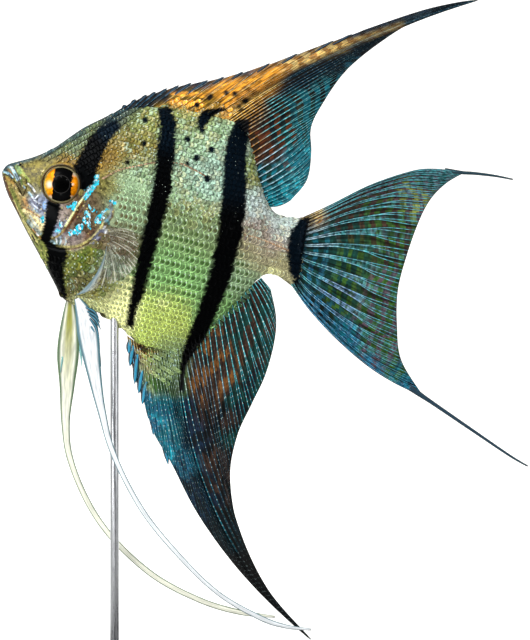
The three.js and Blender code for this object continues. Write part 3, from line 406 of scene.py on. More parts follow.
class FishHues(bpy.types.PropertyGroup):
    """Pigments of the flesh, scales and fins."""

    __annotations__ = {key: hue(key.replace("_", " ").title(), code, use) for key, code, use in (
        ("slate", "35525a", "Crown and top of the snout"), ("olive", "887c3c", "Brow and snout side"),
        ("ochre", "767032", "Shoulder"), ("amber", "866820", "Behind the eye"),
        ("moss", "727a3a", "Throat and breast"), ("sand", "94824a", "Lower jaw"),
        ("cream", "e4d29a", "Pale streaks on the jaw"), ("lilac", "7a849c", "Cheek"),
        # snow is the white of painted highlights on the head, and of the paler flecks of the gill cover.
        ("snow", "e8eef4", "Highlights of lips and cheek"), ("maroon", "562a12", "Front edge of the jaw"),
        ("umber", "5c4a34", "Gill cover"), ("rose", "94877e", "Tail stalk"), ("meadow", "8c9654", "Back"),
        ("mint", "94b088", "Upper flank"), ("aqua", "a2c4b0", "Flank by the third bar"),
        ("sage", "84996a", "Middle of the flank"), ("leaf", "86b470", "Lower flank"),
        ("lime", "b6c868", "Above the anal fin"), ("lemon", "eef0ae", "Belly"),
        ("mist", "80947f", "Behind the chest fin"), ("pearl", "b6c6c2", "Top of the tail stalk"),
        ("straw", "a09b74", "Foot of the tail stalk"), ("ice", "a4c8d8", "Lips and the brightest rays"),
        # horn is painted shade in the creases, mouth and nostrils of the head, and a dark brown in bands of
        # the back fin and on the keel.
        ("horn", "2c2012", "Creases of the head"),
        ("fern", "3a5c26", "Scale centres, jaw flap and throat bands"),
        ("algae", "66782a", "Scale centres of the belly"),
        ("loam", "5c5434", "Scale centres high on the side"),
        ("mauve", "766862", "Scale centres of the tail stalk"),
        # bark is the brown of fin bands and edges, and painted shade along the mouth, the cheek groove, the
        # gill cover's edge and round the eye.
        ("butter", "d8cc80", "Ridges of the cheek and gill cover"), ("bark", "6a4420", "Brown edges"),
        ("navy", "102236", "Front edges of the fins"), ("steel", "7c9cac", "Grey-blue rays"),
        ("ink", "0a1016", "Darkest bands"), ("marine", "1c5068", "Blue bands"),
        ("saffron", "e89e30", "Front of the back fin"), ("wheat", "eac878", "Cream rays"),
        ("gilt", "f8c45e", "Gold rays"), ("rust", "8a4c1a", "Rust bands"),
        ("pitch", "080808", "Black middle of the fins"), ("copper", "b4803c", "Copper rays"),
        ("lagoon", "1f94a4", "Turquoise rays"), ("reef", "56b4bc", "Pale green-blue rays"),
        ("deep", "0a5664", "Teal membrane"), ("pine", "0e322c", "Dark green membrane"),
        ("forest", "2c4c1c", "Rear of the tail fin"), ("umbra", "33241c", "Brown membrane"),
        ("plum", "4a3c44", "Purple bands"), ("azure", "3ba0cc", "Blue spines"),
        ("sky", "84aedc", "Blue-white rays"), ("dusk", "17343e", "Top of the nape and of the first bar"),
        ("midnight", "0a1620", "Blue parts of the bars"), ("nape", "5e6c48", "Crown scales"),
        ("bar_black", "060708", "Bars and spots"),
        ("fleck_blue", "1cc0dc", "Bright flecks of the gill cover"),
        ("line_orange", "b09070", "Pores of the lateral line"),
    )}


class FishSizes(bpy.types.PropertyGroup):
    """Sizes of skin, scales and fins."""

    coat_depth: metres("Coat Depth", 0.00028, "How far the skin lies inside the body")
    scale_pitch: metres("Scale Pitch", 0.0013, "From one scale to the next along a row", 0.0005)
    row_pitch: metres("Row Pitch", 0.0021, "From one row of scales to the next", 0.0005)
    scale_lift: FloatProperty(name="Scale Lift", description="How steeply a scale rises to its rear rim",
                              default=radians(6.5), subtype="ANGLE")
    head_pitch: metres("Crown Scale Pitch", 0.00092, "Spacing of the small scales of the crown", 0.0004)
    ray_height: metres("Ray Height", 0.00042, "How far a fin ray stands out at its root")
    membrane: metres("Membrane", 0.00006, "Half the thickness of a fin between its rays")
    seed: IntProperty(name="Seed", description="Picks the scales' small differences", default=7)


class EyeLook(bpy.types.PropertyGroup):
    """Size and colours of the eyes."""

    radius: metres("Eye Radius", 0.00485, "Radius of the eyeball")
    depth: metres("Eye Depth", 0.0027, "Half the eyeball's thickness")
    pupil: metres("Pupil Radius", 0.00215, "Radius of the pupil")
    orange: hue("Orange", "ff9a0c", "Main colour of the iris")
    gold: hue("Gold", "e6c23c", "Front of the iris")
    # Pale is partly the iris's own silvery patches and partly painted highlight.
    pale: hue("Pale", "f8ead0", "Bright patches of the iris")
    rim: hue("Rim", "dccf98", "Bright hoop at the edge of the iris")
    socket: hue("Socket", "4a3c1c", "Skin ring around the eye")


class StandLook(bpy.types.PropertyGroup):
    """Colours of the stand."""

    acrylic: hue("Acrylic", "18191b", "Display base")
    steel: hue("Steel", "b8babd", "Rod and collar")


class StageLook(bpy.types.PropertyGroup):
    """Backdrop, lamps and camera."""

    paper: hue("Paper", "e6e6e4", "Floor and backdrop behind the fish")
    shade: hue("Shade", "5c5c5e", "Floor and backdrop in front of the fish")
    glow: FloatProperty(name="Backdrop Glow", description="Light given off by the backdrop", min=0,
                        default=0.95)
    key: watts("Key Lamp", 6.2, "Power of the main soft lamp")
    fill: watts("Fill Lamp", 1.7, "Power of the fill lamp")
    glint: watts("Glint Lamps", 0.16, "Power of the small lamps that make scales glint")
    lens: FloatProperty(name="Lens", description="Focal length in mm", default=135, min=20)
    distance: metres("Distance", 0.6, "From the lens to the fish")


# ---- Curves and surfaces ------------------------------------------------------------------------


def along(table, t):
    """Row t of a table, t from 0 to 1, on a smooth curve through its rows."""
    rows = np.asarray(table, float)
    place = np.clip(t, 0, 1) * (len(rows) - 1)
    i = np.minimum(place.astype(int), len(rows) - 2)
    f = (place - i)[..., None]
    a, b, c, d = (rows[np.clip(i + k, 0, len(rows) - 1)] for k in (-1, 0, 1, 2))
    leave, arrive = (c - a) / 2, (d - b) / 2
    return ((2 * b - 2 * c + leave + arrive) * f ** 3 + (3 * c - 3 * b - 2 * leave - arrive) * f ** 2
            + leave * f + b)


def in_pairs(row):
    """Points x, z from a row of numbers."""
    return list(zip(row[::2], row[1::2]))


def smoothed(line, steps=24):
    """An open line with more points on a smooth curve."""
    return along(line, np.linspace(0, 1, steps + 1))


def ramp(value, low, high):
    """0 below low, 1 above high and a smooth rise between."""
    f = np.clip((value - low) / (high - low), 0, 1)
    return f * f * (3 - 2 * f)


def off_line(x, z, line):
    """How far points are from a line, and how far along it the nearest place is, from 0 to 1."""
    gap = np.full(np.shape(x), 1e9)
    share = np.zeros(np.shape(x))
    for k, ((x0, z0), (x1, z1)) in enumerate(zip(line, line[1:])):
        dx, dz = x1 - x0, z1 - z0
        f = np.clip(((x - x0) * dx + (z - z0) * dz) / (dx * dx + dz * dz), 0, 1)
        d = np.hypot(x - x0 - f * dx, z - z0 - f * dz)
        share = np.where(d < gap, (k + f) / (len(line) - 1), share)
        gap = np.minimum(gap, d)
    return gap, share


def inside(x, z, outline):
    """How deep points lie inside a closed outline; less than 0 outside."""
    ring = list(outline) + [outline[0]]
    within = np.zeros(np.shape(x), bool)
    for (x0, z0), (x1, z1) in zip(ring, ring[1:]):
        crosses = (z0 > z) != (z1 > z)
        within ^= crosses & (x < x0 + (z - z0) * (x1 - x0) / ((z1 - z0) or 1e-9))
    return np.where(within, 1, -1) * off_line(x, z, ring)[0]


def blackness(x, z, jitter=0.0):
    """How black the bars and spots make points of the fish, from 0 to 1."""
    depth, spot = np.full(np.shape(x), -9.0), np.full(np.shape(x), -9.0)
    for outline in BARS:
        depth = np.maximum(depth, inside(x, z, outline))
    for sx, sz, radius in SPOTS:
        spot = np.maximum(spot, radius + 0.2 - np.hypot(x - sx, z - sz))
    return np.maximum(ramp(depth + jitter, -0.28, 0.28), ramp(spot, -0.12, 0.22))


def zoned(hues, zones, x, z, column=0):
    """Zone colours blended at points; column picks the hue of a fin zone."""
    total = np.zeros((len(x), 3))
    weight = np.zeros((len(x), 1))
    for names, places in zones.items():
        tone = np.array(getattr(hues, names.split()[column]))
        for zx, zz, reach in places:
            w = np.exp(-((x - zx) ** 2 + (z - zz) ** 2) / (2 * reach * reach) + 1e-9)[:, None] + 1e-30
            total += w * tone
            weight += w
    return total / weight


def head_paint(hues, colour, x, z):
    """Lines of the head painted over the colours of its zones."""
    for name, strength, half, *line in HEAD_LINES:
        gap, _ = off_line(x, z, smoothed(in_pairs(line), 14))
        mask = strength * (1 - ramp(gap, 0.55 * half, 1.5 * half))
        colour = colour + mask[:, None] * (np.array(getattr(hues, name)) - colour)
    return colour


def contour(hues, colour, x, z):
    """Darkens the edges of the back and the keel, which end in a thin dark line."""
    back = off_line(x, z, [row[:2] for row in BODY])[0]
    keel = off_line(x, z, [row[2:4] for row in BODY])[0]
    for gap, name, strength in (
            (back * 0.5, "slate", 0.9 * ramp(-x, 42, 46)), (back, "dusk", 0.9 * ramp(-x, 33, 40) + 0.2),
            (keel, "horn", 0.85 * ramp(-x, 22, 30) + 0.15)):
        mix = (strength * (1 - ramp(gap, 0.25, 0.8)))[:, None]
        colour = colour + mix * (np.array(getattr(hues, name)) - colour)
    return colour


def fleck_share(x, z):
    """How many of the small flecks shine blue, from 0 to 1."""
    share = np.zeros(len(x))
    for strength, half, *line in FLECKS:
        gap, _ = off_line(x, z, in_pairs(line))
        share = np.maximum(share, strength * (1 - ramp(gap, 0.8 * half, 1.7 * half)))
    return share


def body_point(t, turn, grow):
    """Points of the body, moved outwards by grow: t from snout to tail, turn once round from the keel."""
    tx, tz, bx, bz, half = np.moveaxis(along(BODY, t), -1, 0)
    shift = grow / np.hypot(tx - bx, tz - bz)
    end = np.clip(np.minimum(t, 1 - t) / SNOUT_ROUND, 0, 1)
    close = np.sqrt(1 - (1 - end) ** 2)
    power = EDGE_POWER[0] + (EDGE_POWER[1] - EDGE_POWER[0]) * ramp(t, 0, 0.4)
    side = np.where(turn > np.pi, 1, -1)
    climb = np.where(turn > np.pi, 2 * np.pi - turn, turn) / np.pi
    rise = 0.65 * climb + 0.175 * (1 - np.cos(np.pi * climb))
    off = (rise - WIDEST) / np.where(rise < WIDEST, WIDEST, 1 - WIDEST)
    y = (half + grow) * close * np.maximum(1 - off * off, 0) ** power * side
    x = bx - (tx - bx) * shift + (tx - bx) * (1 + 2 * shift) * rise
    z = bz - (tz - bz) * shift + (tz - bz) * (1 + 2 * shift) * rise
    return x, y, z, side


def on_ray(rays, u, v):
    """Point v of the ray at u, on the parabola through its root, middle and tip."""
    rx, rz, mx, mz, tx, tz = np.moveaxis(along(rays, u), -1, 0)
    root, middle, tip = (1 - v) * (1 - 2 * v), 4 * v * (1 - v), v * (2 * v - 1)
    return root * rx + middle * mx + tip * tx, root * rz + middle * mz + tip * tz


def tail_point(u, v):
    """Point of the tail fin between its four edges: u from upper to lower edge, v from root to rear."""
    root, rear = along(TAIL_ROOT, u), along(TAIL_REAR, u)
    upper, lower = along(TAIL_UPPER, v), along(TAIL_LOWER, v)
    u, v = u[..., None], v[..., None]
    corners = ((1 - u) * ((1 - v) * np.array(TAIL_UPPER[0]) + v * np.array(TAIL_UPPER[-1]))
               + u * ((1 - v) * np.array(TAIL_LOWER[0]) + v * np.array(TAIL_LOWER[-1])))
    place = (1 - v) * root + v * rear + (1 - u) * upper + u * lower - corners
    return place[..., 0], place[..., 1]


def bend(wave, u, v):
    """How far a fin stands off the middle plane."""
    height, turns, phase = wave
    return height * v * v * np.sin(2 * np.pi * turns * u + phase)


# ---- Meshes -------------------------------------------------------------------------------------


def grid_mesh(name, columns, rows, place, sheets=1):
    """A closed surface from grids of faces, one for each sheet. place(u, v, sheet) gives x, y, z in mm,
    a dictionary of maps and one of numbers; sheets meet where their points do."""
    bm = bmesh.new()
    for sheet in range(sheets):
        bmesh.ops.create_grid(bm, x_segments=columns, y_segments=rows, size=0.5,
                              matrix=Matrix.Translation((0, 0, sheet)))
    mesh = bpy.data.meshes.new(name)
    bm.to_mesh(mesh)
    bm.free()
    flat = np.empty(len(mesh.vertices) * 3)
    mesh.vertices.foreach_get("co", flat)
    flat = flat.reshape(-1, 3)
    u, v = [(flat[:, k] - flat[:, k].min()) / np.ptp(flat[:, k]) for k in (0, 1)]
    (x, y, z), maps, numbers = place(u, v, np.rint(flat[:, 2]).astype(int))
    mesh.vertices.foreach_set("co", (np.stack([x, y, z + FISH_LIFT], 1) * MM).ravel())
    keep_maps(mesh, **maps)
    for number_name, value in numbers.items():
        keep_number(mesh, number_name, value)
    bm = bmesh.new()
    bm.from_mesh(mesh)
    bmesh.ops.remove_doubles(bm, verts=bm.verts, dist=WELD)
    bmesh.ops.dissolve_degenerate(bm, edges=bm.edges, dist=1e-8)
    bmesh.ops.recalc_face_normals(bm, faces=bm.faces)
    if bm.calc_volume(signed=True) < 0:
        bmesh.ops.reverse_faces(bm, faces=bm.faces)
    bm.to_mesh(mesh)
    bm.free()
    mesh.shade_smooth()
    return mesh


def closed(bm, name, smooth=True):
    """The mesh of a finished bmesh."""
    mesh = bpy.data.meshes.new(name)
    bm.to_mesh(mesh)
    bm.free()
    if smooth:
        mesh.shade_smooth()
    return mesh


def spun(profile, steps, ring):
    """A bmesh spun about the Z axis from a profile of radius and height; ring joins its ends."""
    bm = bmesh.new()
    verts = [bm.verts.new((radius, 0, height)) for radius, height in profile]
    edges = [bm.edges.new(pair) for pair in zip(verts, verts[1:] + verts[:ring])]
    bmesh.ops.spin(bm, geom=verts + edges, axis=(0, 0, 1), cent=(0, 0, 0), steps=steps, angle=2 * pi,
                   use_merge=True)
    bmesh.ops.remove_doubles(bm, verts=bm.verts, dist=1e-5)
    bmesh.ops.recalc_face_normals(bm, faces=bm.faces)
    return bm


def bevel(bm, upright, offset, segments):
    """Rounds the upright edges of a bmesh, or its level ones."""
    edges = [edge for edge in bm.edges if (abs(edge.verts[0].co.z - edge.verts[1].co.z) > 1e-6) == upright]
    bmesh.ops.bevel(bm, geom=edges, offset=offset, offset_type="OFFSET", segments=segments, profile=0.5,
                    affect="EDGES", material=-1)


def points_of(mesh):
    """Vertex places in mm in the fish's own frame: x, y, z."""
    at = np.empty(len(mesh.vertices) * 3)
    mesh.vertices.foreach_get("co", at)
    at = at.reshape(-1, 3) / MM
    return at[:, 0], at[:, 1], at[:, 2] - FISH_LIFT


def keep_maps(mesh, **maps):
    """Makes UV maps from a pair of numbers for each vertex."""
    corners = np.empty(len(mesh.loops), int)
    mesh.loops.foreach_get("vertex_index", corners)
    for name, pair in maps.items():
        layer = mesh.uv_layers.new(name=name)
        layer.uv.foreach_set("vector", np.stack(pair, 1)[corners].astype(np.float32).ravel())


def keep_colour(mesh, name, colour):
    """Stores a colour for each vertex."""
    made = mesh.attributes.new(name, "FLOAT_COLOR", "POINT")
    made.data.foreach_set("color", np.hstack([colour, np.ones((len(colour), 1))]).astype(np.float32).ravel())


def keep_number(mesh, name, value):
    """Stores a number for each vertex."""
    made = mesh.attributes.new(name, "FLOAT", "POINT")
    made.data.foreach_set("value", np.asarray(value, np.float32))


def show(mesh, material, replaced=()):
    """Puts a mesh in the scene as a finished piece of the fish or its stand."""
    piece = bpy.data.objects.new(mesh.name, mesh)
    bpy.context.scene.collection.objects.link(piece)
    mesh.materials.clear()
    mesh.materials.append(material)
    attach(piece, "root")
    if replaced:
        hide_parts(*replaced)
    return piece


# ---- Materials ----------------------------------------------------------------------------------


def fill(sockets, **values):
    """Links an output to each named socket or sets its value. A colour is three numbers."""
    for name, value in values.items():
        put(sockets[name.replace("_", " ")], value)


def put(socket, value):
    """Links an output to a socket, or sets the socket's value."""
    if isinstance(value, bpy.types.NodeSocket):
        socket.id_data.links.new(value, socket)
    else:
        socket.default_value = (*value, 1.0) if socket.type == "RGBA" else value


# What the second word of a node's kind sets, where it isn't the operation.
MAIN_SETTING = {"Attribute": "attribute_name", "MapRange": "interpolation_type", "Mix": "data_type",
                "TexWhiteNoise": "noise_dimensions", "UVMap": "uv_map"}


def add_node(tree, kind, *values, out=0, **others):
    """Adds a shader node and gives one output. values go to its inputs in turn, counting those in use
    only; of the others, capitalised names are inputs and the rest are settings."""
    kind, _, choice = kind.partition(" ")
    made = tree.nodes.new("ShaderNode" + kind)
    if choice:
        setattr(made, MAIN_SETTING.get(kind, "operation"), choice)
    for name, value in others.items():
        if name[0].islower():
            setattr(made, name, value)
    for socket, value in zip([socket for socket in made.inputs if socket.enabled], values):
        put(socket, value)
    fill(made.inputs, **{name: value for name, value in others.items() if name[0].isupper()})
    return [socket for socket in made.outputs if socket.enabled][out]


def surface(name, **values):
    """A material with one Principled shader, a function that adds nodes to it, and the shader."""
    material = bpy.data.materials.new(name)
    material.use_nodes = True
    shader = material.node_tree.nodes["Principled BSDF"]
    fill(shader.inputs, **values)
    return material, partial(add_node, material.node_tree), shader


def flesh_material(hues):
    """Fish skin: living tissue under a thin coat of slime, with mirror-like cells in patches. Gives a
    wet shine, fine grain and coloured glints."""
    material, add, shader = surface(
        "Fish skin", Roughness=0.36, Specular_IOR_Level=0.18, Coat_Weight=0.04, Coat_Roughness=0.12)
    spot = add("TexCoord", out=3)
    ground = add("Attribute ground")
    dark = add("Attribute dark", out=2)
    night = add("Attribute night")
    grain = add("TexNoise", spot, Scale=1000 / 0.9, Detail=3, Roughness=0.7)
    light = add("MapRange", grain, 0.38, 0.62, 0.35, 1.65)
    toned = add("VectorMath SCALE", ground, light)
    # Gold and cream specks of pigment, about 0.4 mm across.
    cells = add("TexVoronoi", spot, Scale=1000 / 0.9)
    near = add("MapRange", cells, 0.3, 0.14, 0, 0.8)
    some = add("SeparateColor", cells.node.outputs[1])
    some = add("MapRange", some, 0.5, 0.45)
    speck = add("Math MULTIPLY", near, some)
    specked = add("Mix RGBA", speck, toned, hues.butter)
    # Flecks: mirror cells about 0.5 mm across, longer than broad, that flash blue.
    leaning = add("Mapping", spot, Rotation=(0, radians(40), 0), Scale=(1000 / 0.38, 1000 / 0.9, 1000 / 0.55))
    chips = add("TexVoronoi", leaning, Scale=1, Randomness=0.7, out=1, distance="CHEBYCHEV")
    chance = add("SeparateColor", chips)
    share = add("Attribute fleck", out=2)
    shines = add("Math LESS_THAN", chance, share)
    solid = add("MapRange", chips.node.outputs[0], 0.62, 0.54)
    shines = add("Math MULTIPLY", shines, solid)
    lively = add("MapRange", chance.node.outputs[1], 0, 1, 0.6, 1.5)
    paler = add("MapRange", chance.node.outputs[2], 0.6, 1, 0, 0.8)
    blue = add("Mix RGBA", paler, hues.fleck_blue, hues.snow)
    blue = add("VectorMath SCALE", blue, lively)
    flecked = add("Mix RGBA", shines, specked, blue)
    marked = add("Mix RGBA", dark, flecked, night)
    rough = add("MapRange", grain, 0.3, 0.7, 0.26, 0.5)
    bump = add("Bump", Height=grain, Strength=0.35, Distance=0.0002)
    fill(shader.inputs, Base_Color=marked, Metallic=dark, Roughness=rough, Normal=bump)
    return material


def scale_material():
    """Fish scales: thin bone-clear plates over mirror cells. Gives a dark centre, a pale rear rim that is
    partly a painted highlight, and painted glints and a gloss that differ from scale to scale."""
    material, add, shader = surface(
        "Fish scales", Roughness=0.32, Specular_IOR_Level=0.15, Coat_Weight=0.03, Coat_Roughness=0.1)
    spot = add("TexCoord", out=3)
    ground, centre, night = (add(f"Attribute {name}") for name in ("ground", "centre", "night"))
    dark, luck, crown, strength, glitter = (
        add(f"Attribute {name}", out=2) for name in ("dark", "luck", "crown", "spot", "glitter"))
    lie = add("UVMap Lie")
    # The rear margin of a scale is where it is one half from the plate's middle.
    whole = add("Mapping", lie, Location=(-1, -1, 0), Scale=(2, 2, 1))
    reach = add("VectorMath LENGTH", whole)
    rim = add("MapRange SMOOTHSTEP", reach, 0.78, 0.88)
    back = add("SeparateXYZ", lie)
    from_here, to_here = (add("Mix", crown, a, b) for a, b in ((0.6, 0.3), (0.8, 0.5)))
    back = add("MapRange", back.node.outputs[1], from_here, to_here)
    rim = add("Math MULTIPLY", rim, back)
    # The dark centre of the part left open by the scales in front.
    core = add("Mapping", lie, Location=(-1.5, -2.85, 0), Scale=(3, 3.8, 1))
    away = add("VectorMath LENGTH", core)
    inner = add("MapRange SMOOTHSTEP", away, 0.3, 1.15, 1, 0)
    # Painted highlight: the rear rim is painted up to 3.3 times lighter than the ground, partly the scale's
    # own pale margin and partly a highlight on its raised edge; crown scales get dark outlines instead.
    tone = add("MapRange", rim, 0, 1, 0.95, 3.3)
    inverse = add("MapRange", rim, 0, 1, 1.35, 0.08)
    level = add("Mix", crown, tone, inverse)
    chance = add("MapRange", luck, 0, 1, 0.8, 1.2)
    light = add("Math MULTIPLY", level, chance)
    toned = add("VectorMath SCALE", ground, light)
    mine = add("Math MULTIPLY", inner, strength)
    cored = add("Mix RGBA", mine, toned, centre)
    # Pigment grains about 0.4 mm across, stronger high on the side.
    grain = add("TexNoise", spot, Scale=1000 / 0.6, Roughness=0.6)
    lowest = add("MapRange", glitter, 0.2, 1, 0.74, 0.5)
    highest = add("MapRange", glitter, 0.2, 1, 1.26, 1.5)
    speck = add("MapRange", grain, 0.36, 0.64, lowest, highest)
    grained = add("VectorMath SCALE", cored, speck)
    # Painted highlight: a point of light at the rear tip of the luckier scales.
    tip = add("Mapping", lie, Location=(-1.4, -6.6, 0), Scale=(6, 8, 1))
    tip = add("VectorMath LENGTH", tip)
    point = add("MapRange", glitter, 0.2, 1, 0.6, 1)
    tip_highlight = add("MapRange", tip, point, 0.3, 0, 0.85)
    lucky = add("MapRange", luck, 0.3, 0.6)
    tip_highlight = add("Math MULTIPLY", tip_highlight, lucky)
    bare = add("Math SUBTRACT", 1, dark)
    tip_highlight = add("Math MULTIPLY", tip_highlight, bare)
    # Painted glints: points of light about 0.2 mm across, as from mirror cells, small and sparse in the black
    # bars.
    cells = add("TexVoronoi", spot, Scale=1000 / 0.75)
    lot = add("SeparateColor", cells.node.outputs[1])
    rarer = add("Mix", dark, 0.75, 0.3)
    often = add("Math MULTIPLY", glitter, rarer)
    lit = add("Math LESS_THAN", lot, often)
    size = add("Mix", dark, 0.26, 0.13)
    near = add("MapRange", cells, size, 0.05, 0, 0.9)
    glint = add("Math MULTIPLY", lit, near)
    glint = add("Math MAXIMUM", glint, tip_highlight)
    marked = add("Mix RGBA", dark, grained, night)
    glint_painted = add("Mix RGBA", glint, marked, linear("e4f6e6"))
    rough = add("MapRange", luck, 0, 1, 0.26, 0.46)
    dull = add("Mix", dark, rough, 0.5)
    bump = add("Bump", Height=grain, Strength=0.2, Distance=0.0001)
    fill(shader.inputs, Metallic=dark, Base_Color=glint_painted, Roughness=dull, Normal=bump)
    return material


def fin_material(name, hues, lines, bands, stray, pairs, tiles, veil):
    """Fin membrane over jointed bony rays. Gives pale lines that fork towards the margin, brighter and
    duller joints along them, beads of painted highlight, bands across them, and painted shade in the
    pleats and just behind each ray. lines and bands are sizes in mm, stray is how far each ray's bands
    stand out of line, tiles is the size in mm of the small patches and veil how much lavender the rays take."""
    material, add, shader = surface(
        name, Roughness=0.4, Specular_IOR_Level=0.14, Coat_Weight=0.03, Coat_Roughness=0.2)
    membrane, ray, band = (add(f"Attribute {n}") for n in ("membrane", "ray", "band"))
    dark, parted, again, spacing, reach, beaded = (
        add(f"Attribute {n}", out=2)
        for n in ("dark", "parted", "again", "spacing", "reach", "beaded"))
    rays = add("UVMap Rays")
    number = add("SeparateXYZ", rays)
    length = number.node.outputs[1]
    lot = add("TexWhiteNoise 1D", add("Math FLOOR", number))
    place = add("Math FRACT", number)
    side = add("Math SUBTRACT", place, 0.5)
    off = add("Math ABSOLUTE", side)
    within = add("Math LESS_THAN", off, parted)
    for part in (parted, again):
        gap = add("Math SUBTRACT", off, part)
        off = add("Math ABSOLUTE", gap)
    away = add("Math MULTIPLY", off, spacing)
    wide = add("MapRange", reach, 0, 0.9, lines[0], lines[1])
    share = add("Math DIVIDE", away, wide)
    line = add("MapRange SMOOTHSTEP", share, 1, 0.4)
    # Joints of the rays: stretches about 1 mm long, each with its own brightness.
    joints = add("TexNoise", add("Mapping", rays, Scale=(2.3, 0.9, 1)), Scale=1, Detail=1)
    joint = add("MapRange", joints, 0.32, 0.66, 0.4, 1.5)
    hazy = add("SeparateColor", joints.node.outputs[1])
    hazy = add("MapRange", hazy.node.outputs[2], 0.45, 0.6, 0, veil)
    # Beads of painted highlight along the rays, now here and now there.
    step = add("Math MULTIPLY", length, 2 * pi / 1.3)
    start = add("Math MULTIPLY_ADD", lot, 40, step)
    beat = add("Math SINE", start)
    beat = add("Math MULTIPLY_ADD", joints, 1.6, beat)
    painted_bead = add("MapRange", beat, 1.55, 1.8)
    painted_bead = add("Math MULTIPLY", painted_bead, line)
    painted_bead = add("Math MULTIPLY", painted_bead, beaded)
    # Bands lie across the rays, each ray's a little out of line with the next.
    turn = add("Math MULTIPLY", length, 2 * pi / bands)
    drift = add("TexNoise", add("Mapping", rays, Scale=(0.45, 0.12, 1)), Scale=1)
    drift = add("Math MULTIPLY_ADD", drift, 9, turn)
    drift = add("Math MULTIPLY_ADD", lot, stray, drift)
    swing = add("Math SINE", drift)
    banded = add("MapRange SMOOTHSTEP", swing, -0.1, 0.35)
    sheet = add("Mix RGBA", banded, membrane, band)
    # Small patches of the sheet, lighter or darker than the next.
    shifted = add("Math MULTIPLY_ADD", lot, 5, length)
    tile = add("CombineXYZ", add("Math MULTIPLY", number, 3), add("Math MULTIPLY", shifted, 1 / tiles))
    tile = add("TexWhiteNoise 2D", add("VectorMath FLOOR", tile))
    tiled = add("MapRange", tile, 0, 1, 0.55, 1.45)
    # Between the two halves of a ray the sheet shows the ray's own colour in blocks.
    blocks = add("MapRange", joints, 0.42, 0.56, pairs * 0.15, pairs)
    filled = add("Math MULTIPLY", within, blocks)
    fading = add("MapRange", reach, 0.3, 0.85, 1, 0.15)
    filled = add("Math MULTIPLY", filled, fading)
    tinged = add("Mix RGBA", hazy, ray, hues.lilac)
    sheet = add("Mix RGBA", filled, sheet, tinged)
    # Fine pleats between the rays. Painted shade: the pleats are painted lighter and darker, and the sheet is
    # painted darkest just behind each ray, as the shadow of the raised ray.
    fine = add("Mapping", rays, Scale=(5, 0.12, 1))
    pleats = add("TexNoise", fine, Scale=1)
    pleat_shade = add("MapRange", pleats, 0.35, 0.65, 0.25, 1.75)
    ray_shadow = add("MapRange SMOOTHSTEP", share, 1, 2, 0.2, 1)
    shade = add("Math MULTIPLY", pleat_shade, ray_shadow)
    shade = add("Math MULTIPLY", shade, tiled)
    sheet = add("VectorMath SCALE", sheet, shade)
    bright = add("VectorMath SCALE", tinged, joint)
    drawn = add("Mix RGBA", line, sheet, bright)
    lit = add("Mix RGBA", painted_bead, drawn, linear("d8f6f4"))
    # Both edges of the fin are dark.
    rim = add("Attribute rim", out=2)
    rimmed = add("Mix RGBA", rim, lit, hues.ink)
    marked = add("Mix RGBA", dark, rimmed, hues.bar_black)
    height = add("Math ADD", pleats, line)
    bump = add("Bump", Height=height, Strength=0.35, Distance=0.0001)
    fill(shader.inputs, Base_Color=marked, Normal=bump)
    return material


def feeler_material(name, middle, edge, inset=(0.3, 0.44), root=None):
    """Soft feeler skin: pale and waxy with a darker line along each side, from inset outwards, and its
    own colour at the root."""
    material, add, shader = surface(
        name, Roughness=0.42, Specular_IOR_Level=0.4, Coat_Weight=0.1, Coat_Roughness=0.2)
    lie = add("UVMap Lie")
    across = add("SeparateXYZ", lie)
    away = add("Math SUBTRACT", across, 0.5)
    off = add("Math ABSOLUTE", away)
    lined = add("MapRange SMOOTHSTEP", off, inset[0], inset[1])
    streaks = add("Mapping", lie, Scale=(9, 7, 1))
    fibre = add("TexNoise", streaks, Scale=1)
    shade = add("MapRange", fibre, 0.35, 0.65, 0.75, 1.15)
    started = add("MapRange", across.node.outputs[1], 0.25, 0.95, 1, 0)
    core = add("MapRange", off, 0.12, 0.3, 1, 0)
    started = add("Math MULTIPLY", started, core)
    hued = add("Mix RGBA", started, linear(middle), linear(root or middle))
    body = add("VectorMath SCALE", hued, shade)
    drawn = add("Mix RGBA", lined, body, linear(edge))
    bump = add("Bump", Height=fibre, Strength=0.2, Distance=0.0001)
    fill(shader.inputs, Base_Color=drawn, Normal=bump)
    return material


def clear_fin_material():
    """Clear chest fin: a glass-thin membrane that shows only its fine rays."""
    material, add, shader = surface("Clear fin", Roughness=0.3, Specular_IOR_Level=0.4)
    rays = add("UVMap Rays")
    line = add("Attribute line", out=2)
    lead = add("Attribute lead", out=2)
    streaks = add("Mapping", rays, Scale=(1, 0.3, 1))
    fibre = add("TexNoise", streaks, Scale=1)
    tint = add("MapRange", fibre, 0.42, 0.58)
    tinted = add("Mix RGBA", tint, linear("dcdcc8"), linear("4a3a24"))
    colour = add("Mix RGBA", lead, tinted, linear("688c9a"))
    clear = add("MapRange", line, 0, 1, 0.05, 0.42)
    alpha = add("Math MAXIMUM", clear, lead)
    fill(shader.inputs, Base_Color=colour, Alpha=alpha)
    return material


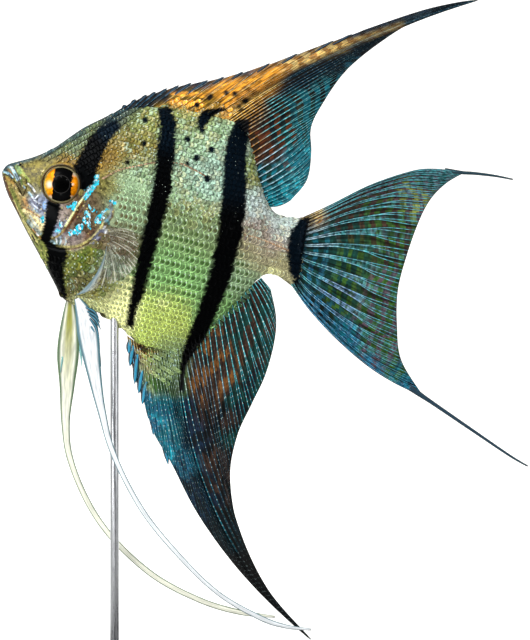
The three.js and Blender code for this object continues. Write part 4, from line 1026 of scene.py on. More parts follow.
def eye_material(look, side):
    """Wet eyeball: a mirror-bright iris crossed by the first black bar, under a clear cornea whose
    polish is the clear coat."""
    material, add, shader = surface(
        f"Wet eye {side}", Roughness=0.3, Specular_IOR_Level=0.03, Coat_Weight=0.25, Coat_Roughness=0.02,
        Coat_IOR=1.2)
    x, _, z = EYE_AT
    spot = add("TexCoord", out=3)
    centred = add("Mapping", spot, Location=(-x * MM, 0, -(z + FISH_LIFT) * MM))
    flat = add("VectorMath MULTIPLY", centred, (1000, 0, 1000))
    parts = add("SeparateXYZ", flat)
    high = parts.node.outputs[2]
    away = add("VectorMath LENGTH", flat)
    streak = add("TexNoise", flat, Scale=0.9)
    front = add("MapRange", parts, -2.9, -4, 0, 0.9)
    iris = add("Mix RGBA", front, look.orange, look.gold)
    mottled = add("MapRange", streak, 0.4, 0.6, 0.75, 1.25)
    iris = add("VectorMath SCALE", iris, mottled)
    # Pale patches, partly the iris's own silvery patches and partly painted highlight: in front of the pupil,
    # below in front, behind it, and at both ends of the rear crescent.
    bright = 0.0
    for gx, gz, wide in ((-2.9, 0, 1.2), (-2.7, -3.4, 0.9), (2.9, 0, 0.45), (2.6, -3.4, 0.8), (3.4, 2.7, 1)):
        gap = add("VectorMath DISTANCE", flat, (gx, 0, gz))
        glow = add("MapRange", gap, wide, wide * 0.3, 0, 0.9)
        bright = add("Math MAXIMUM", glow, bright)
    iris = add("Mix RGBA", bright, iris, look.pale)
    # The bar leans: its top is further back than its foot, and its edges are ragged.
    ragged = add("TexNoise", flat, Scale=1.3)
    lean = add("Math MULTIPLY_ADD", high, -0.1, parts)
    lean = add("Math SUBTRACT", lean, 0.4)
    off = add("Math ABSOLUTE", lean)
    off = add("Math MULTIPLY_ADD", ragged, 1.3, off)
    barred = add("MapRange", off, 3.05, 2.9)
    iris = add("Mix RGBA", barred, iris, linear("050506"))
    pupil = add("MapRange", away, look.pupil * 1000 + 0.05, look.pupil * 1000 - 0.05)
    seam = add("MapRange", away, look.pupil * 1000 + 0.16, look.pupil * 1000 + 0.06, 0, 0.55)
    iris = add("Mix RGBA", seam, iris, linear("4c4a48"))
    iris = add("Mix RGBA", pupil, iris, linear("010101"))
    hoop = add("Math SUBTRACT", away, 4.42)
    hoop = add("Math ABSOLUTE", hoop)
    hooped = add("MapRange", hoop, 0.26, 0.12, 0, 0.9)
    iris = add("Mix RGBA", hooped, iris, look.rim)
    # Painted shade: the eyeball's edge, where it sinks under the skin of the socket, is painted near-black.
    edge = add("MapRange", away, 4.56, 4.68)
    iris = add("Mix RGBA", edge, iris, linear("0c0a08"))
    mirror = add("Math SUBTRACT", 1, barred)
    metal = add("Math MULTIPLY", mirror, 0.12)
    fill(shader.inputs, Base_Color=iris, Metallic=metal)
    return material


def plain_material(name, colour, grain_mm, spread, strength, **values):
    """A stand finish: one colour with a fine grain that varies its gloss and surface."""
    material, add, shader = surface(name, Base_Color=colour, **values)
    spot = add("TexCoord", out=3)
    sized = add("Mapping", spot, Scale=tuple(1000 / g for g in grain_mm))
    grain = add("TexNoise", sized, Scale=1, Detail=3)
    rough = add("MapRange", grain, 0.3, 0.7, spread[0], spread[1])
    bump = add("Bump", Height=grain, Strength=strength, Distance=0.00004)
    fill(shader.inputs, Roughness=rough, Normal=bump)
    return material


# ---- Skin and scales ----------------------------------------------------------------------------

SKIN_AROUND, SKIN_ALONG = 300, 328
# Places of the grid's rings, close together on the head: share of the rings, share of the length.
RINGS = [(0, 0), (0.02, 0.002), (0.06, 0.016), (0.1, 0.04), (0.6, 0.44), (0.96, 0.975), (0.985, 0.996),
         (1, 1)]
# Grooves and ridges of the head: height in mm, half width, then x, z of each point.
HEAD_FOLDS = [
    (-0.75, 0.16, -68, 118.1, -66, 117.6, -64.4, 117.1, -62.8, 115, -61.4, 112.8, -60.4, 111),
    (0.22, 0.4, -64.4, 118.7, -63, 117.7, -62, 115.5, -61.4, 113.3),
    (0.2, 0.4, -65.5, 116.6, -64, 116, -62.6, 114.4), (-0.3, 0.15, -59.2, 115.6, -59.1, 113, -60, 110.6),
    (0.16, 0.5, -60.6, 117, -59.9, 114.8, -60.2, 111.8),
    (-0.16, 0.16, -62.8, 109.4, -60.6, 105.4, -58.7, 102, -56.2, 98.2, -53.8, 94),
    (-0.14, 0.15, -61.8, 109.4, -59.6, 105.4, -57.6, 102, -55.4, 98.8),
    (0.28, 0.32, -43.8, 111.4, -46.2, 108.5, -48.2, 105.2, -49.8, 103, -51.2, 101.2, -53.2, 100),
    (-0.22, 0.22, -43.2, 110.4, -45.5, 107.6, -47.5, 104.3, -49, 102, -50.6, 100.2, -52.6, 99.1),
    (0.2, 0.35, -38.5, 109.4, -38.3, 106.2, -39.6, 103.9, -41.9, 101.5, -44.3, 99.6, -47.5, 98.6, -51.2,
     98.2),
    (-0.5, 0.2, -40.6, 114, -38.2, 111, -37.6, 109, -37.2, 106, -38.9, 103, -41.5, 100.6, -44.2, 98.7, -47.5,
     97.7, -51.2, 97.5, -54.6, 98.6),
    (0.25, 0.6, -40.3, 102.6, -39.4, 100.4, -39, 97.8),
]
NOSTRIL = (-61.0, 118.7, 0.3)


def relief(x, z):
    """How far the skin stands out, in mm, at the eye sockets, lips, nostrils and head bones."""
    away = np.hypot(x - EYE_AT[0], z - EYE_AT[2])
    height = 0.2 * np.exp(-((away - 5.2) / 0.35) ** 2) - 3.0 * (1 - ramp(away, 4.3, 4.8))
    for rise, half, *line in HEAD_FOLDS:
        gap, share = off_line(x, z, smoothed(in_pairs(line), 16))
        height += rise * np.exp(-(gap / half) ** 2) * ramp(np.minimum(share, 1 - share), -0.02, 0.06)
    nx, nz, radius = NOSTRIL
    away = np.hypot(x - nx, z - nz)
    return height - 0.5 * np.exp(-(away / radius) ** 2) + 0.12 * np.exp(-((away - 0.6) / 0.25) ** 2)


def skin_map(side, climb, ring):
    """Place on the unwrap of the skin: the left side fills the lower half, the right side the upper."""
    return 0.02 + 0.96 * ring, np.where(side > 0, 0.52 + 0.46 * climb, 0.02 + 0.46 * climb)


class ANGELFISH_OT_skin(bpy.types.Operator):
    """Build the skin that covers head, jaws, gill covers, trunk and tail stalk."""

    bl_idname = "angelfish.skin"
    bl_label = "Skin"

    def execute(self, context):
        hues, sizes = context.scene.fish_hues, context.scene.fish_sizes
        depth = sizes.coat_depth / MM

        def place(u, v, sheet):
            t = np.interp(v, *zip(*RINGS))
            x, y, z, side = body_point(t, 2 * np.pi * u, -depth)
            out = relief(x, z) * np.clip(np.abs(y) / 1.6, 0, 1)
            y = side * np.maximum(np.abs(y) + out, np.minimum(np.abs(y), 0.12))
            climb = np.where(side > 0, 2 - 2 * u, 2 * u)
            return (x, y, z), {"OFBake": skin_map(side, climb, v)}, {}

        mesh = grid_mesh("fish_skin", SKIN_AROUND, SKIN_ALONG, place)
        x, y, z = points_of(mesh)
        colour = contour(hues, head_paint(hues, zoned(hues, FLESH_ZONES, x, z), x, z), x, z)
        away = np.hypot(x - EYE_AT[0], z - EYE_AT[2])
        # Painted shade round the eye: a darker brown ring on the slope down into the socket.
        socket_shade = (1 - ramp(away, 4.8, 5.1))[:, None] * 0.5
        colour = colour + socket_shade * (np.array(hues.bark) * 0.6 - colour)
        # Painted shade: the nostril pit is painted black.
        nostril = np.hypot(x - NOSTRIL[0], z - NOSTRIL[1])
        ragged = 0.3 * np.sin(7.3 * z + 2 * np.sin(3.1 * z)) * np.sin(4.7 * z + 1.3 * x)
        dark = np.maximum(blackness(x, z, ragged), 1 - ramp(nostril, 0.2, 0.5))
        keep_colour(mesh, "ground", colour)
        # Painted shade: black where the skin sinks to meet the eyeball, within 4.85 mm of its centre.
        keep_number(mesh, "dark", np.maximum(dark, 1 - ramp(away, 4.5, 4.85)))
        keep_number(mesh, "fleck", fleck_share(x, z))
        keep_colour(mesh, "night", zoned(hues, NIGHT_ZONES, x, z))
        show(mesh, flesh_material(hues), (
            "head", "upper_jaw", "lower_jaw", "gill_cover_left", "gill_cover_right", "trunk", "tail_stalk"))
        return {"FINISHED"}


# The head, which the body's scales leave free.
HEAD_OUTLINE = [
    (-80, 140), (-41, 137), (-41.4, 129), (-41, 122), (-40.2, 117.5), (-38.4, 112), (-37, 108), (-37.6, 105),
    (-39.2, 102.6), (-41.5, 100.4), (-45, 98), (-49.2, 96.6), (-54, 96.6), (-56.8, 98), (-60.5, 98.2),
    (-80, 98),
]
# Where the crown has small scales.
CROWN_OUTLINE = [
    (-57, 120.6), (-53, 124), (-44, 129.6), (-38, 133.6), (-31, 134), (-32.8, 131.6), (-34, 129.8),
    (-35, 128.2), (-36.8, 127.6), (-38.2, 125.4), (-39.9, 122), (-40.8, 117), (-43.5, 115.6), (-45.4, 116.6),
    (-46.8, 118.4), (-50.5, 120), (-54, 119.4),
]


def breast_share(x, z):
    """Where the small uneven scales of the breast lie, from 0 to 1."""
    return ramp(z, 83, 87) * ramp(-z, -100, -96) * ramp(-x, 35, 39)


ROWS_REACH = 60  # how far rows of scales go up and down from their middle
ROW_SPAN = (-45, 80)  # how far each row goes forwards and to the rear
SCALE_WIDTH, SCALE_LENGTH = 1.24, 2.1  # size of a scale against the spacing of rows and along them


def scale_rows(pitch, row_pitch, lean, middle, rng, size_at, width_at):
    """Places of the scales on the side of the fish, set brickwise in rows that fall to the rear by the
    angle lean, around a middle point: x, z, size along the row and width across it."""
    found = []
    for way in (-1, 1):
        b, row = 0.0, 0
        while abs(b) < ROWS_REACH:
            wide = width_at(b)
            a = ROW_SPAN[0] + (row % 2) * pitch * 0.5
            while a < ROW_SPAN[1] and (way > 0 or row > 0):
                size = size_at(a) * (0.55 + 0.45 * wide)
                x = middle[0] + a * cos(lean) + b * sin(lean)
                found.append((x, middle[1] - a * sin(lean) + b * cos(lean), size, size_at(a) * wide))
                a += pitch * size
            b += way * row_pitch * (wide + width_at(b + way * row_pitch * wide)) / 2
            row += 1
    found = np.array(found)
    level = found[:, 1] + 0.25 * found[:, 0]
    loose = 0.04 + 0.04 * ramp(level, 102, 106) + 0.14 * breast_share(found[:, 0], found[:, 1])
    found[:, :2] += rng.normal(0, 1, (len(found), 2)) * loose[:, None]
    return found


def scale_shape():
    """One scale as a thin closed shell: a round plate one unit wide and one long, its root at 0."""
    bm = bmesh.new()
    bmesh.ops.create_grid(bm, x_segments=4, y_segments=4, size=1)
    for vert in bm.verts:
        across, forward = vert.co.x, vert.co.y
        across, forward = (across * sqrt(1 - forward * forward / 2),
                           forward * sqrt(1 - across * across / 2))
        vert.co = (across / 2, (forward + 1) / 2, 0.05 * (1 - across * across))
    bmesh.ops.solidify(bm, geom=bm.faces, thickness=0.022)
    bmesh.ops.recalc_face_normals(bm, faces=bm.faces)
    bm.verts.index_update()
    shape = np.array([vert.co for vert in bm.verts])
    faces = [[vert.index for vert in face.verts] for face in bm.faces]
    flat = [abs(face.normal.z) < 0.7 for face in bm.faces]
    bm.free()
    return shape, faces, flat


def lay_scales(name, hues, side, found, skin, turn_at, lift, width, length, rng, sunk=0.08, paint=None,
               steep=0.3):
    """Lays scales on one side of the skin, each tilted a little its own way, as one mesh. sunk is how
    deep their roots lie in mm; paint, if given, changes their colours; steep keeps them off the edges."""
    tree, polygon_map = skin
    shape, faces, flat = scale_shape()
    places, roots, kept = [], [], []
    for x, z, size, wide in found:
        start = Vector((x * MM, side * 0.03, (z + FISH_LIFT) * MM))
        at, normal, index, _ = tree.ray_cast(start, Vector((0, -side, 0)))
        if at is None or normal.y * side < steep:
            continue
        turn = turn_at(x, z) + rng.normal(0, 0.04)
        forward = Vector((cos(turn), 0, sin(turn)))
        forward = (forward - normal * forward.dot(normal)).normalized()
        tilt = lift + rng.normal(0, radians(0.7))
        raised = forward * cos(tilt) + normal * sin(tilt)
        across = normal.cross(forward) * side
        roll = rng.normal(0, radians(2.5))
        up = across.cross(raised) * side
        c, s = cos(roll), sin(roll)
        up, across = up * c + across * s, across * c - up * s
        root = at - forward * (0.5 * length * size * MM) - normal * (sunk * MM)
        frame_of = np.array([across * width * wide, raised * length * size, up * length * size]) * MM
        places.append(np.array(root) + shape @ frame_of)
        roots.append(polygon_map[index])
        kept.append((x, z, size))
    kept, count = np.array(kept), len(shape)
    mesh = bpy.data.meshes.new(name)
    # The two sides mirror each other, so the faces of one side turn the other way to look outwards.
    many = [[k * count + i for i in face[::side]] for k in range(len(kept)) for face in faces]
    mesh.from_pydata(np.concatenate(places), [], many)
    own = np.tile(shape[:, :2] + (0.5, 0), (len(kept), 1))
    patch = np.repeat(np.array(roots), count, axis=0) + (own - 0.5) * 0.003
    keep_maps(mesh, Lie=own.T, OFBake=patch.T)
    mesh.shade_smooth()
    mesh.polygons.foreach_set("use_smooth", np.tile(np.logical_not(flat), len(kept)))
    x, z = kept[:, 0], kept[:, 1]
    luck = rng.random(len(kept))
    colour = zoned(hues, FLESH_ZONES, x, z)
    # One scale in a few leans to another hue; more of them high on the side.
    pick = rng.random(len(kept))
    crowned = inside(x, z, CROWN_OUTLINE) > -0.4
    high = ramp(z + 0.25 * (x + 30), 102, 111) * ramp(x + 0.8 * (z - 125), -41, -38) * ~crowned
    breast = breast_share(x, z)
    high = np.maximum(high, 0.8 * breast)
    for least, most, tint, strength in (
            (0, 0.12, "amber", 0.35), (0.12, 0.24, "aqua", 0.35), (0.24, 0.36, "fern", 0.35),
            (0.36, 0.5, "cream", 0.25), (0.5, 0.62, "loam", 0.4)):
        mix = (((pick >= least) & (pick < most)) * strength * (0.1 + 0.9 * high))[:, None]
        colour = colour + mix * (np.array(getattr(hues, tint)) - colour)
    colour = contour(hues, colour, x, z)
    if paint is not None:
        colour = paint(colour, x, z)
    centre = zoned(hues, CENTRE_ZONES, x, z)
    level = z + 0.25 * (x + 24)
    spot = (0.55 + 0.45 * ramp(luck, 0.0, 0.7)) * (0.6 + 0.4 * ramp(level, 80, 90)) * (
        1 - ramp(level, 105, 112)) * (1 - 0.8 * ramp(x, -5, -2)) * (1 - 0.6 * breast)
    crown = np.where(crowned, 1.0, np.maximum(0.8 * ramp(level, 108, 114), 0.75 * breast))
    # glitter sets how many painted glints a scale gets, and how strong its grain is; it is higher up the
    # side.
    for kind, value in (("luck", luck), ("spot", spot), ("crown", crown), ("glitter", 0.15 + 0.85 * high)):
        keep_number(mesh, kind, np.repeat(value, count))
    px, _, pz = points_of(mesh)
    jitter = np.repeat(rng.normal(0, 0.1, len(kept)), count) + rng.normal(0, 0.16, len(px))
    keep_number(mesh, "dark", blackness(px, pz, jitter))
    keep_colour(mesh, "ground", np.repeat(colour, count, axis=0))
    keep_colour(mesh, "centre", np.repeat(centre, count, axis=0))
    keep_colour(mesh, "night", np.repeat(zoned(hues, NIGHT_ZONES, x, z), count, axis=0))
    return mesh


def surface_of(name):
    """A piece's surface for finding places on it, and the place of each face on its unwrap."""
    bm = bmesh.new()
    bm.from_mesh(bpy.data.objects[name].data)
    tree = BVHTree.FromBMesh(bm)
    layer = bm.loops.layers.uv["OFBake"]
    places = np.array([face.loops[0][layer].uv for face in bm.faces])
    bm.free()
    return tree, places


class ANGELFISH_OT_scales(bpy.types.Operator):
    """Lay the scales of trunk and crown, and the pores of the lateral line, over the skin."""

    bl_idname = "angelfish.scales"
    bl_label = "Scales"

    def execute(self, context):
        hues, sizes = context.scene.fish_hues, context.scene.fish_sizes
        rng = np.random.default_rng(sizes.seed)
        skin = surface_of("fish_skin")
        pitch, row = sizes.scale_pitch / MM, sizes.row_pitch / MM
        # The rows are widest in the middle of the side.
        body = scale_rows(pitch, row, radians(14), (-30, 98), rng,
                          lambda a: 0.8 + 0.2 * ramp(a, -14, 0) - 0.25 * ramp(a, 20, 30),
                          lambda b: 0.62 + 0.38 * ramp(b, -15, -8) * (1 - ramp(b, 8, 13)))
        x, z = body[:, 0], body[:, 1]
        head_depth = np.maximum(inside(x, z, HEAD_OUTLINE), inside(x, z, CROWN_OUTLINE))
        body = body[(head_depth < -0.3) & ~((x > 5) & (z < 89.6)) & ~((x > 7) & (z > 105))]
        small = sizes.head_pitch / MM
        head = scale_rows(small, small * 1.5, radians(-30), (-48, 122), rng, lambda a: 1.0,
                          lambda b: 1.0)
        head = head[inside(head[:, 0], head[:, 1], CROWN_OUTLINE) > -0.3]
        material = scale_material()

        def pore_paint(colour, x, z):
            return np.array(hues.line_orange) * (0.35 + 0.9 * rng.random((len(x), 1)))

        def body_turn(x, z):
            back = 30 * ramp(z, 116, 130) * ramp(-x, 18, 34)
            return radians(-18 + back - 18 * ramp(-z, -104, -94))

        for side, word in ((-1, "left"), (1, "right")):
            show(lay_scales(f"body_scales_{word}", hues, side, body, skin, body_turn, sizes.scale_lift,
                            row * SCALE_WIDTH, pitch * SCALE_LENGTH, rng), material)
            pores = np.array([(*point, 1, 1) for line in LATERAL_LINES
                              for point in smoothed(line, len(line) * 6)])
            show(lay_scales(f"lateral_line_{word}", hues, side, pores, skin, lambda x, z: -0.15,
                            sizes.scale_lift, 0.42, 0.7, rng, -0.1, pore_paint), material)
            show(lay_scales(f"crown_scales_{word}", hues, side, head, skin, lambda x, z: radians(30),
                            sizes.scale_lift, small * 1.5 * SCALE_WIDTH, small * SCALE_LENGTH, rng,
                            steep=0.12), material)
        return {"FINISHED"}


# ---- Fins ---------------------------------------------------------------------------------------


def ray_lines(number, reach, spacing, forks):
    """How much of a ray there is at each point, 1 on its crest and 0 between rays, and how far its
    halves stand apart. forks: how far at the base, at the margin, and how far each parts again."""
    start, finish, again = forks
    parted = start + (finish - start) * ramp(reach, 0.3, 0.95)
    twice = again * ramp(reach, 0.5, 1.0)
    off = np.abs(number - np.floor(number) - 0.5)
    off = np.abs(np.abs(off - parted) - twice) * spacing
    return 1 - ramp(off, 0.08, 0.34), parted, twice


RAY_STEP = 0.2  # share of a ray's width used to measure it
ROOT_STEP = 0.03  # share of a ray's length that gives the line of its root


def fin_mesh(name, sizes, count_table, place_at, wave, forks, columns, rows, notch=None, sink=0.04):
    """A fin as one closed sheet with raised rays. count_table gives ray numbers against the share of
    the fin from front to rear; notch gives how many spines there are and the mm between their tips."""
    numbers, shares = zip(*count_table)
    last = numbers[-1]
    height, thin = sizes.ray_height / MM, sizes.membrane / MM

    def place(u, v, sheet):
        number = u * last
        share = np.interp(number, numbers, shares)
        reach = v * (1 + sink) - sink
        x, z = place_at(share, np.maximum(reach, 0))
        x1, z1 = place_at(share, np.full_like(reach, ROOT_STEP))
        x0, z0 = place_at(share, np.zeros_like(reach))
        deep = np.minimum(reach, 0) / ROOT_STEP
        x, z = x + (x1 - x0) * deep, z + (z1 - z0) * deep
        nx, nz = place_at(np.interp(number + RAY_STEP, numbers, shares), np.clip(reach, 0.02, 0.98))
        px, pz = place_at(np.interp(number - RAY_STEP, numbers, shares), np.clip(reach, 0.02, 0.98))
        count = np.minimum(number + RAY_STEP, last) - np.maximum(number - RAY_STEP, 0)
        spacing = np.hypot(nx - px, nz - pz) / count
        if notch:
            spines, back = notch
            saw = np.where(number < spines, np.ceil(number + 0.4999) - number - 0.5, 0)
            ex, ez = place_at(share, np.full_like(reach, 0.9))
            tx, tz = place_at(share, np.ones_like(reach))
            pull = back * saw * ramp(reach, 0.7, 1.0) / (np.hypot(tx - ex, tz - ez) + 1e-6)
            x, z = x - (tx - ex) * pull, z - (tz - ez) * pull
        mx, mz = place_at(share, np.maximum(reach, 0) * 0.5)
        length = np.hypot(mx - x0, mz - z0) + np.hypot(x - mx, z - mz)
        line, parted, again = ray_lines(number, reach, spacing, forks)
        edge = np.minimum(np.minimum(u, 1 - u) * last * 3, np.minimum(v, 1 - v) * rows * 0.5).clip(0, 1)
        half = (thin + height * line * (1 - 0.72 * np.clip(reach, 0, 1))) * edge
        y = bend(wave, share, np.maximum(reach, 0)) + np.where(sheet == 0, -half, half)
        maps = {"Rays": (number, length), "OFBake": (0.01 + 0.98 * u, 0.01 + 0.48 * v + 0.5 * sheet)}
        out = np.minimum(u, 1 - u) * last * spacing
        rim = (1 - ramp(np.minimum(out, (1 - reach) * 22), 0.12, 0.3)) * ramp(reach, -0.01, 0.03)
        kept = {"spacing": spacing, "parted": parted, "again": again, "reach": reach, "rim": 0.85 * rim}
        return (x, y, z), maps, kept

    return grid_mesh(name, columns, rows, place, sheets=2)


def colour_fin(mesh, hues, zones, beads):
    """Stores the colours of a fin on its vertices; beads gives how bright the painted bead highlights are by
    x and z.
    """
    x, _, z = points_of(mesh)
    for column, name in enumerate(("membrane", "ray", "band")):
        keep_colour(mesh, name, zoned(hues, zones, x, z, column))
    keep_number(mesh, "dark", blackness(x, z, 0.8 * np.sin(31 * z + 2 * np.sin(7 * z)) * ramp(x, 4, 6)))
    keep_number(mesh, "beaded", beads(x, z))


class ANGELFISH_OT_dorsal_fin(bpy.types.Operator):
    """Build the back fin with its spines, soft rays and long tip."""

    bl_idname = "angelfish.dorsal_fin"
    bl_label = "Back Fin"

    def execute(self, context):
        hues, sizes = context.scene.fish_hues, context.scene.fish_sizes
        forks = (0.0, 0.25, 0.0)
        mesh = fin_mesh("dorsal_fin", sizes, DORSAL_COUNT, lambda u, v: on_ray(DORSAL_RAYS, u, v),
                        DORSAL_WAVE, forks, 450, 90, notch=(14, 1.0))
        colour_fin(mesh, hues, DORSAL_ZONES, lambda x, z: 0.4 + 0 * x)
        finish = fin_material("Back fin membrane", hues, lines=(0.2, 0.12), bands=3.4, stray=1.2, pairs=0.0,
                              tiles=1.1, veil=0.0)
        show(mesh, finish,
             ("dorsal_fin_spiny", "dorsal_fin_soft", "dorsal_streamer"))
        spine = feeler_material("Back fin spines", "2c5c7c", "04080e", (0.03, 0.17))
        for k, place in enumerate(BACK_SPINES):
            share = np.full(5, place)
            v = 1 - np.array([0.45, 0.32, 0.2, 0.08, 0.0]) * (1 if k < 8 else 8 / (k + 1) * 0.5)
            x, z = on_ray(DORSAL_RAYS, share, v)
            y = bend(DORSAL_WAVE, share, v)
            line = list(zip(x, y, z, np.array((0.5, 0.85, 1.0, 0.75, 0.12)) * (1 if k < 8 else 0.7)))
            show(ribbon_mesh(f"back_spine_{k + 1}", line, 0.3, columns=8, rows=30), spine)
        return {"FINISHED"}


class ANGELFISH_OT_anal_fin(bpy.types.Operator):
    """Build the anal fin with its spines, soft rays and long tip."""

    bl_idname = "angelfish.anal_fin"
    bl_label = "Anal Fin"

    def execute(self, context):
        hues, sizes = context.scene.fish_hues, context.scene.fish_sizes
        forks = (0.0, 0.22, 0.0)
        mesh = fin_mesh("anal_fin", sizes, ANAL_COUNT, lambda u, v: on_ray(ANAL_RAYS, u, v),
                        ANAL_WAVE, forks, 440, 100, notch=(7, 1.2))
        colour_fin(mesh, hues, ANAL_ZONES, lambda x, z: 0.35 + 0.65 * ramp(z, 30, 50))
        finish = fin_material("Anal fin membrane", hues, lines=(0.17, 0.12), bands=8.0, stray=5.0, pairs=0.0,
                              tiles=0.5, veil=0.0)
        show(mesh, finish,
             ("anal_fin_spiny", "anal_fin_soft", "anal_streamer"))
        spine = feeler_material("Anal fin spines", "2f98bc", "061824", (0.1, 0.34))
        for k, (x0, z0, x1, z1) in enumerate(ANAL_SPINES):
            line = [(x0, 0, z0, 0.9), (x0 * 0.6 + x1 * 0.4 - 0.1, 0, z0 * 0.6 + z1 * 0.4, 1.5),
                    (x0 * 0.25 + x1 * 0.75, 0, z0 * 0.25 + z1 * 0.75, 1.25), (x1, 0, z1, 0.12)]
            show(ribbon_mesh(f"anal_spine_{k + 1}", line, 0.36, columns=8, rows=30), spine)
        return {"FINISHED"}


class ANGELFISH_OT_tail_fin(bpy.types.Operator):
    """Build the tail fin."""

    bl_idname = "angelfish.tail_fin"
    bl_label = "Tail Fin"

    def execute(self, context):
        hues, sizes = context.scene.fish_hues, context.scene.fish_sizes
        forks = (0.11, 0.25, 0.115)
        shares = [(k, 0.55 * k / TAIL_RAYS + 0.225 * (1 - cos(pi * k / TAIL_RAYS)))
                  for k in range(TAIL_RAYS + 1)]
        mesh = fin_mesh("tail_fan", sizes, shares, tail_point, TAIL_WAVE, forks, 408, 110, sink=0.12)
        colour_fin(mesh, hues, TAIL_ZONES, lambda x, z: 0.45 - 0.35 * ramp(x, 12, 36))
        finish = fin_material("Tail fin membrane", hues, lines=(0.17, 0.11), bands=2.9, stray=2.2, pairs=0.8,
                              tiles=0.45, veil=0.5)
        show(mesh, finish, ("tail_fin",))
        return {"FINISHED"}


def ribbon_mesh(name, line, half_thick, columns=10, rows=120):
    """A soft flattened rod along a centre line of x, y, z and width."""
    def place(u, v, sheet):
        x, y, z, width = np.moveaxis(along(line, v), -1, 0)
        x0, _, z0, _ = np.moveaxis(along(line, np.clip(v - 0.01, 0, 1)), -1, 0)
        x1, _, z1, _ = np.moveaxis(along(line, np.clip(v + 0.01, 0, 1)), -1, 0)
        run = np.hypot(x1 - x0, z1 - z0)
        across = -np.cos(np.pi * u) / 2 * width
        thick = half_thick * np.sin(np.pi * u) * np.minimum(1, np.minimum(v, 1 - v) * rows * 0.5)
        y = y + np.where(sheet == 0, -thick, thick)
        maps = {"Lie": (across / width + 0.5, v * len(line) / 4),
                "OFBake": (0.02 + 0.46 * u + 0.5 * sheet, 0.02 + 0.96 * v)}
        return (x - (z1 - z0) / run * across, y, z + (x1 - x0) / run * across), maps, {}

    return grid_mesh(name, columns, rows, place, sheets=2)


class ANGELFISH_OT_streamers(bpy.types.Operator):
    """Build the thin streamers at the tips of the tail fin."""

    bl_idname = "angelfish.streamers"
    bl_label = "Streamers"

    def execute(self, context):
        looks = {"tail_streamer_upper": ("tail_fin", "1c3c48", "0c1c24"),
                 "tail_streamer_lower": ("tail_fin", "1a3a4c", "0a1a24")}
        for name, line in STREAMERS.items():
            slot, middle, edge = looks[name]
            mesh = ribbon_mesh(f"{name}_skin", line, 0.26, columns=8, rows=60)
            show(mesh, feeler_material(f"Streamer {name.replace('_', ' ')}", middle, edge), (name,))
        return {"FINISHED"}


# Soft rays of the belly fins that fan out behind the feeler: root x, z and tip x, z.
LEFT_PLUME = [
    (-44.6, 83.2, -41.4, 80.6), (-44.2, 82.2, -41, 79.2), (-43.8, 81.4, -40.9, 77.6),
    (-43.6, 80.4, -41.2, 75),
    (-43.4, 78.6, -41.2, 72.2), (-43, 76, -40.8, 68.4),
]
RIGHT_PLUME = [(-47.6, 80.4, -45.6, 72.4), (-47.8, 78.4, -46, 68.2), (-50.2, 80, -51.2, 70),
               (-50.6, 77.2, -51.4, 66.8)]


class ANGELFISH_OT_belly_fins(bpy.types.Operator):
    """Build the belly fins, their long feelers and their soft rays."""

    bl_idname = "angelfish.belly_fins"
    bl_label = "Belly Fins"

    def execute(self, context):
        sides = (
            ("left", PELVIC_LEFT, LEFT_PLUME, "f1f6f9", "46737e", "4f8ea4", None),
            ("right", PELVIC_RIGHT, RIGHT_PLUME, "f8f9e6", "5c7654", "8cc8c4", "a8a850"),
        )
        for word, line, plume, middle, edge, blue, root in sides:
            finish = feeler_material(f"Feeler skin {word}", middle, edge, (0.29, 0.42), root)
            show(ribbon_mesh(f"pelvic_{word}", line, 0.3, columns=14, rows=220), finish,
                 (f"pelvic_fin_{word}", f"pelvic_feeler_{word}"))
            level = -2.6 if word == "left" else 3.1
            soft = feeler_material(f"Belly fin rays {word}", blue, "12303c" if word == "left" else "5c9898",
                                   (0.1, 0.32))
            for k, (x0, z0, x1, z1) in enumerate(plume):
                middle_x, middle_z = (x0 + x1) / 2 + 0.35, (z0 + z1) / 2 + 0.3
                blade = [(x0, level, z0, 0.5), (middle_x, level, middle_z, 0.75), (x1, level, z1, 0.12)]
                show(ribbon_mesh(f"pelvic_ray_{word}_{k + 1}", blade, 0.2, columns=6, rows=24), soft)
        return {"FINISHED"}


class ANGELFISH_OT_chest_fins(bpy.types.Operator):
    """Build the clear chest fins."""

    bl_idname = "angelfish.chest_fins"
    bl_label = "Chest Fins"

    def execute(self, context):
        material = clear_fin_material()
        for side, word in ((-1, "left"), (1, "right")):
            def place(u, v, sheet):
                x, z = on_ray(PECTORAL_RAYS, u, v)
                line = 1 - ramp(np.abs(u * 24 - np.floor(u * 24) - 0.5), 0.05, 0.22)
                edge = np.minimum(np.minimum(u, 1 - u) * 60, np.minimum(v, 1 - v) * 20).clip(0, 1)
                half = (0.04 + 0.1 * line * (1 - 0.6 * v)) * edge
                y = side * (6.0 + 3.0 * v + 0.3 * np.sin(9 * u) * v) + np.where(sheet == 0, -half, half)
                maps = {"Rays": (u * 24, v * 9), "OFBake": (0.01 + 0.98 * u, 0.01 + 0.48 * v + 0.5 * sheet)}
                return (x, y, z), maps, {"line": line, "lead": ramp(u, 0.8, 0.93) * 0.8}

            mesh = grid_mesh(f"chest_fin_{word}", 168, 40, place, sheets=2)
            show(mesh, material, (f"pectoral_fin_{word}",))
        return {"FINISHED"}


# Where scales climb from the body on to the fins.
SHEATHS = {
    "dorsal_fin": [(-27, 134.6), (-19, 134.6), (-13.6, 134.2), (-9.4, 133.2), (-9, 130.2), (-14, 129.6),
                   (-24, 132)],
    "anal_fin": [(-34.2, 77), (-33.4, 73.4), (-31.2, 69.6), (-28.2, 65.4), (-24.6, 63.6), (-22.2, 65.6),
                 (-18.4, 71.4),
                 (-14.4, 75.4), (-9.4, 80.6), (-5.4, 84.6), (-2.4, 87.8), (-3.4, 90), (-14, 79), (-24, 73)],
}


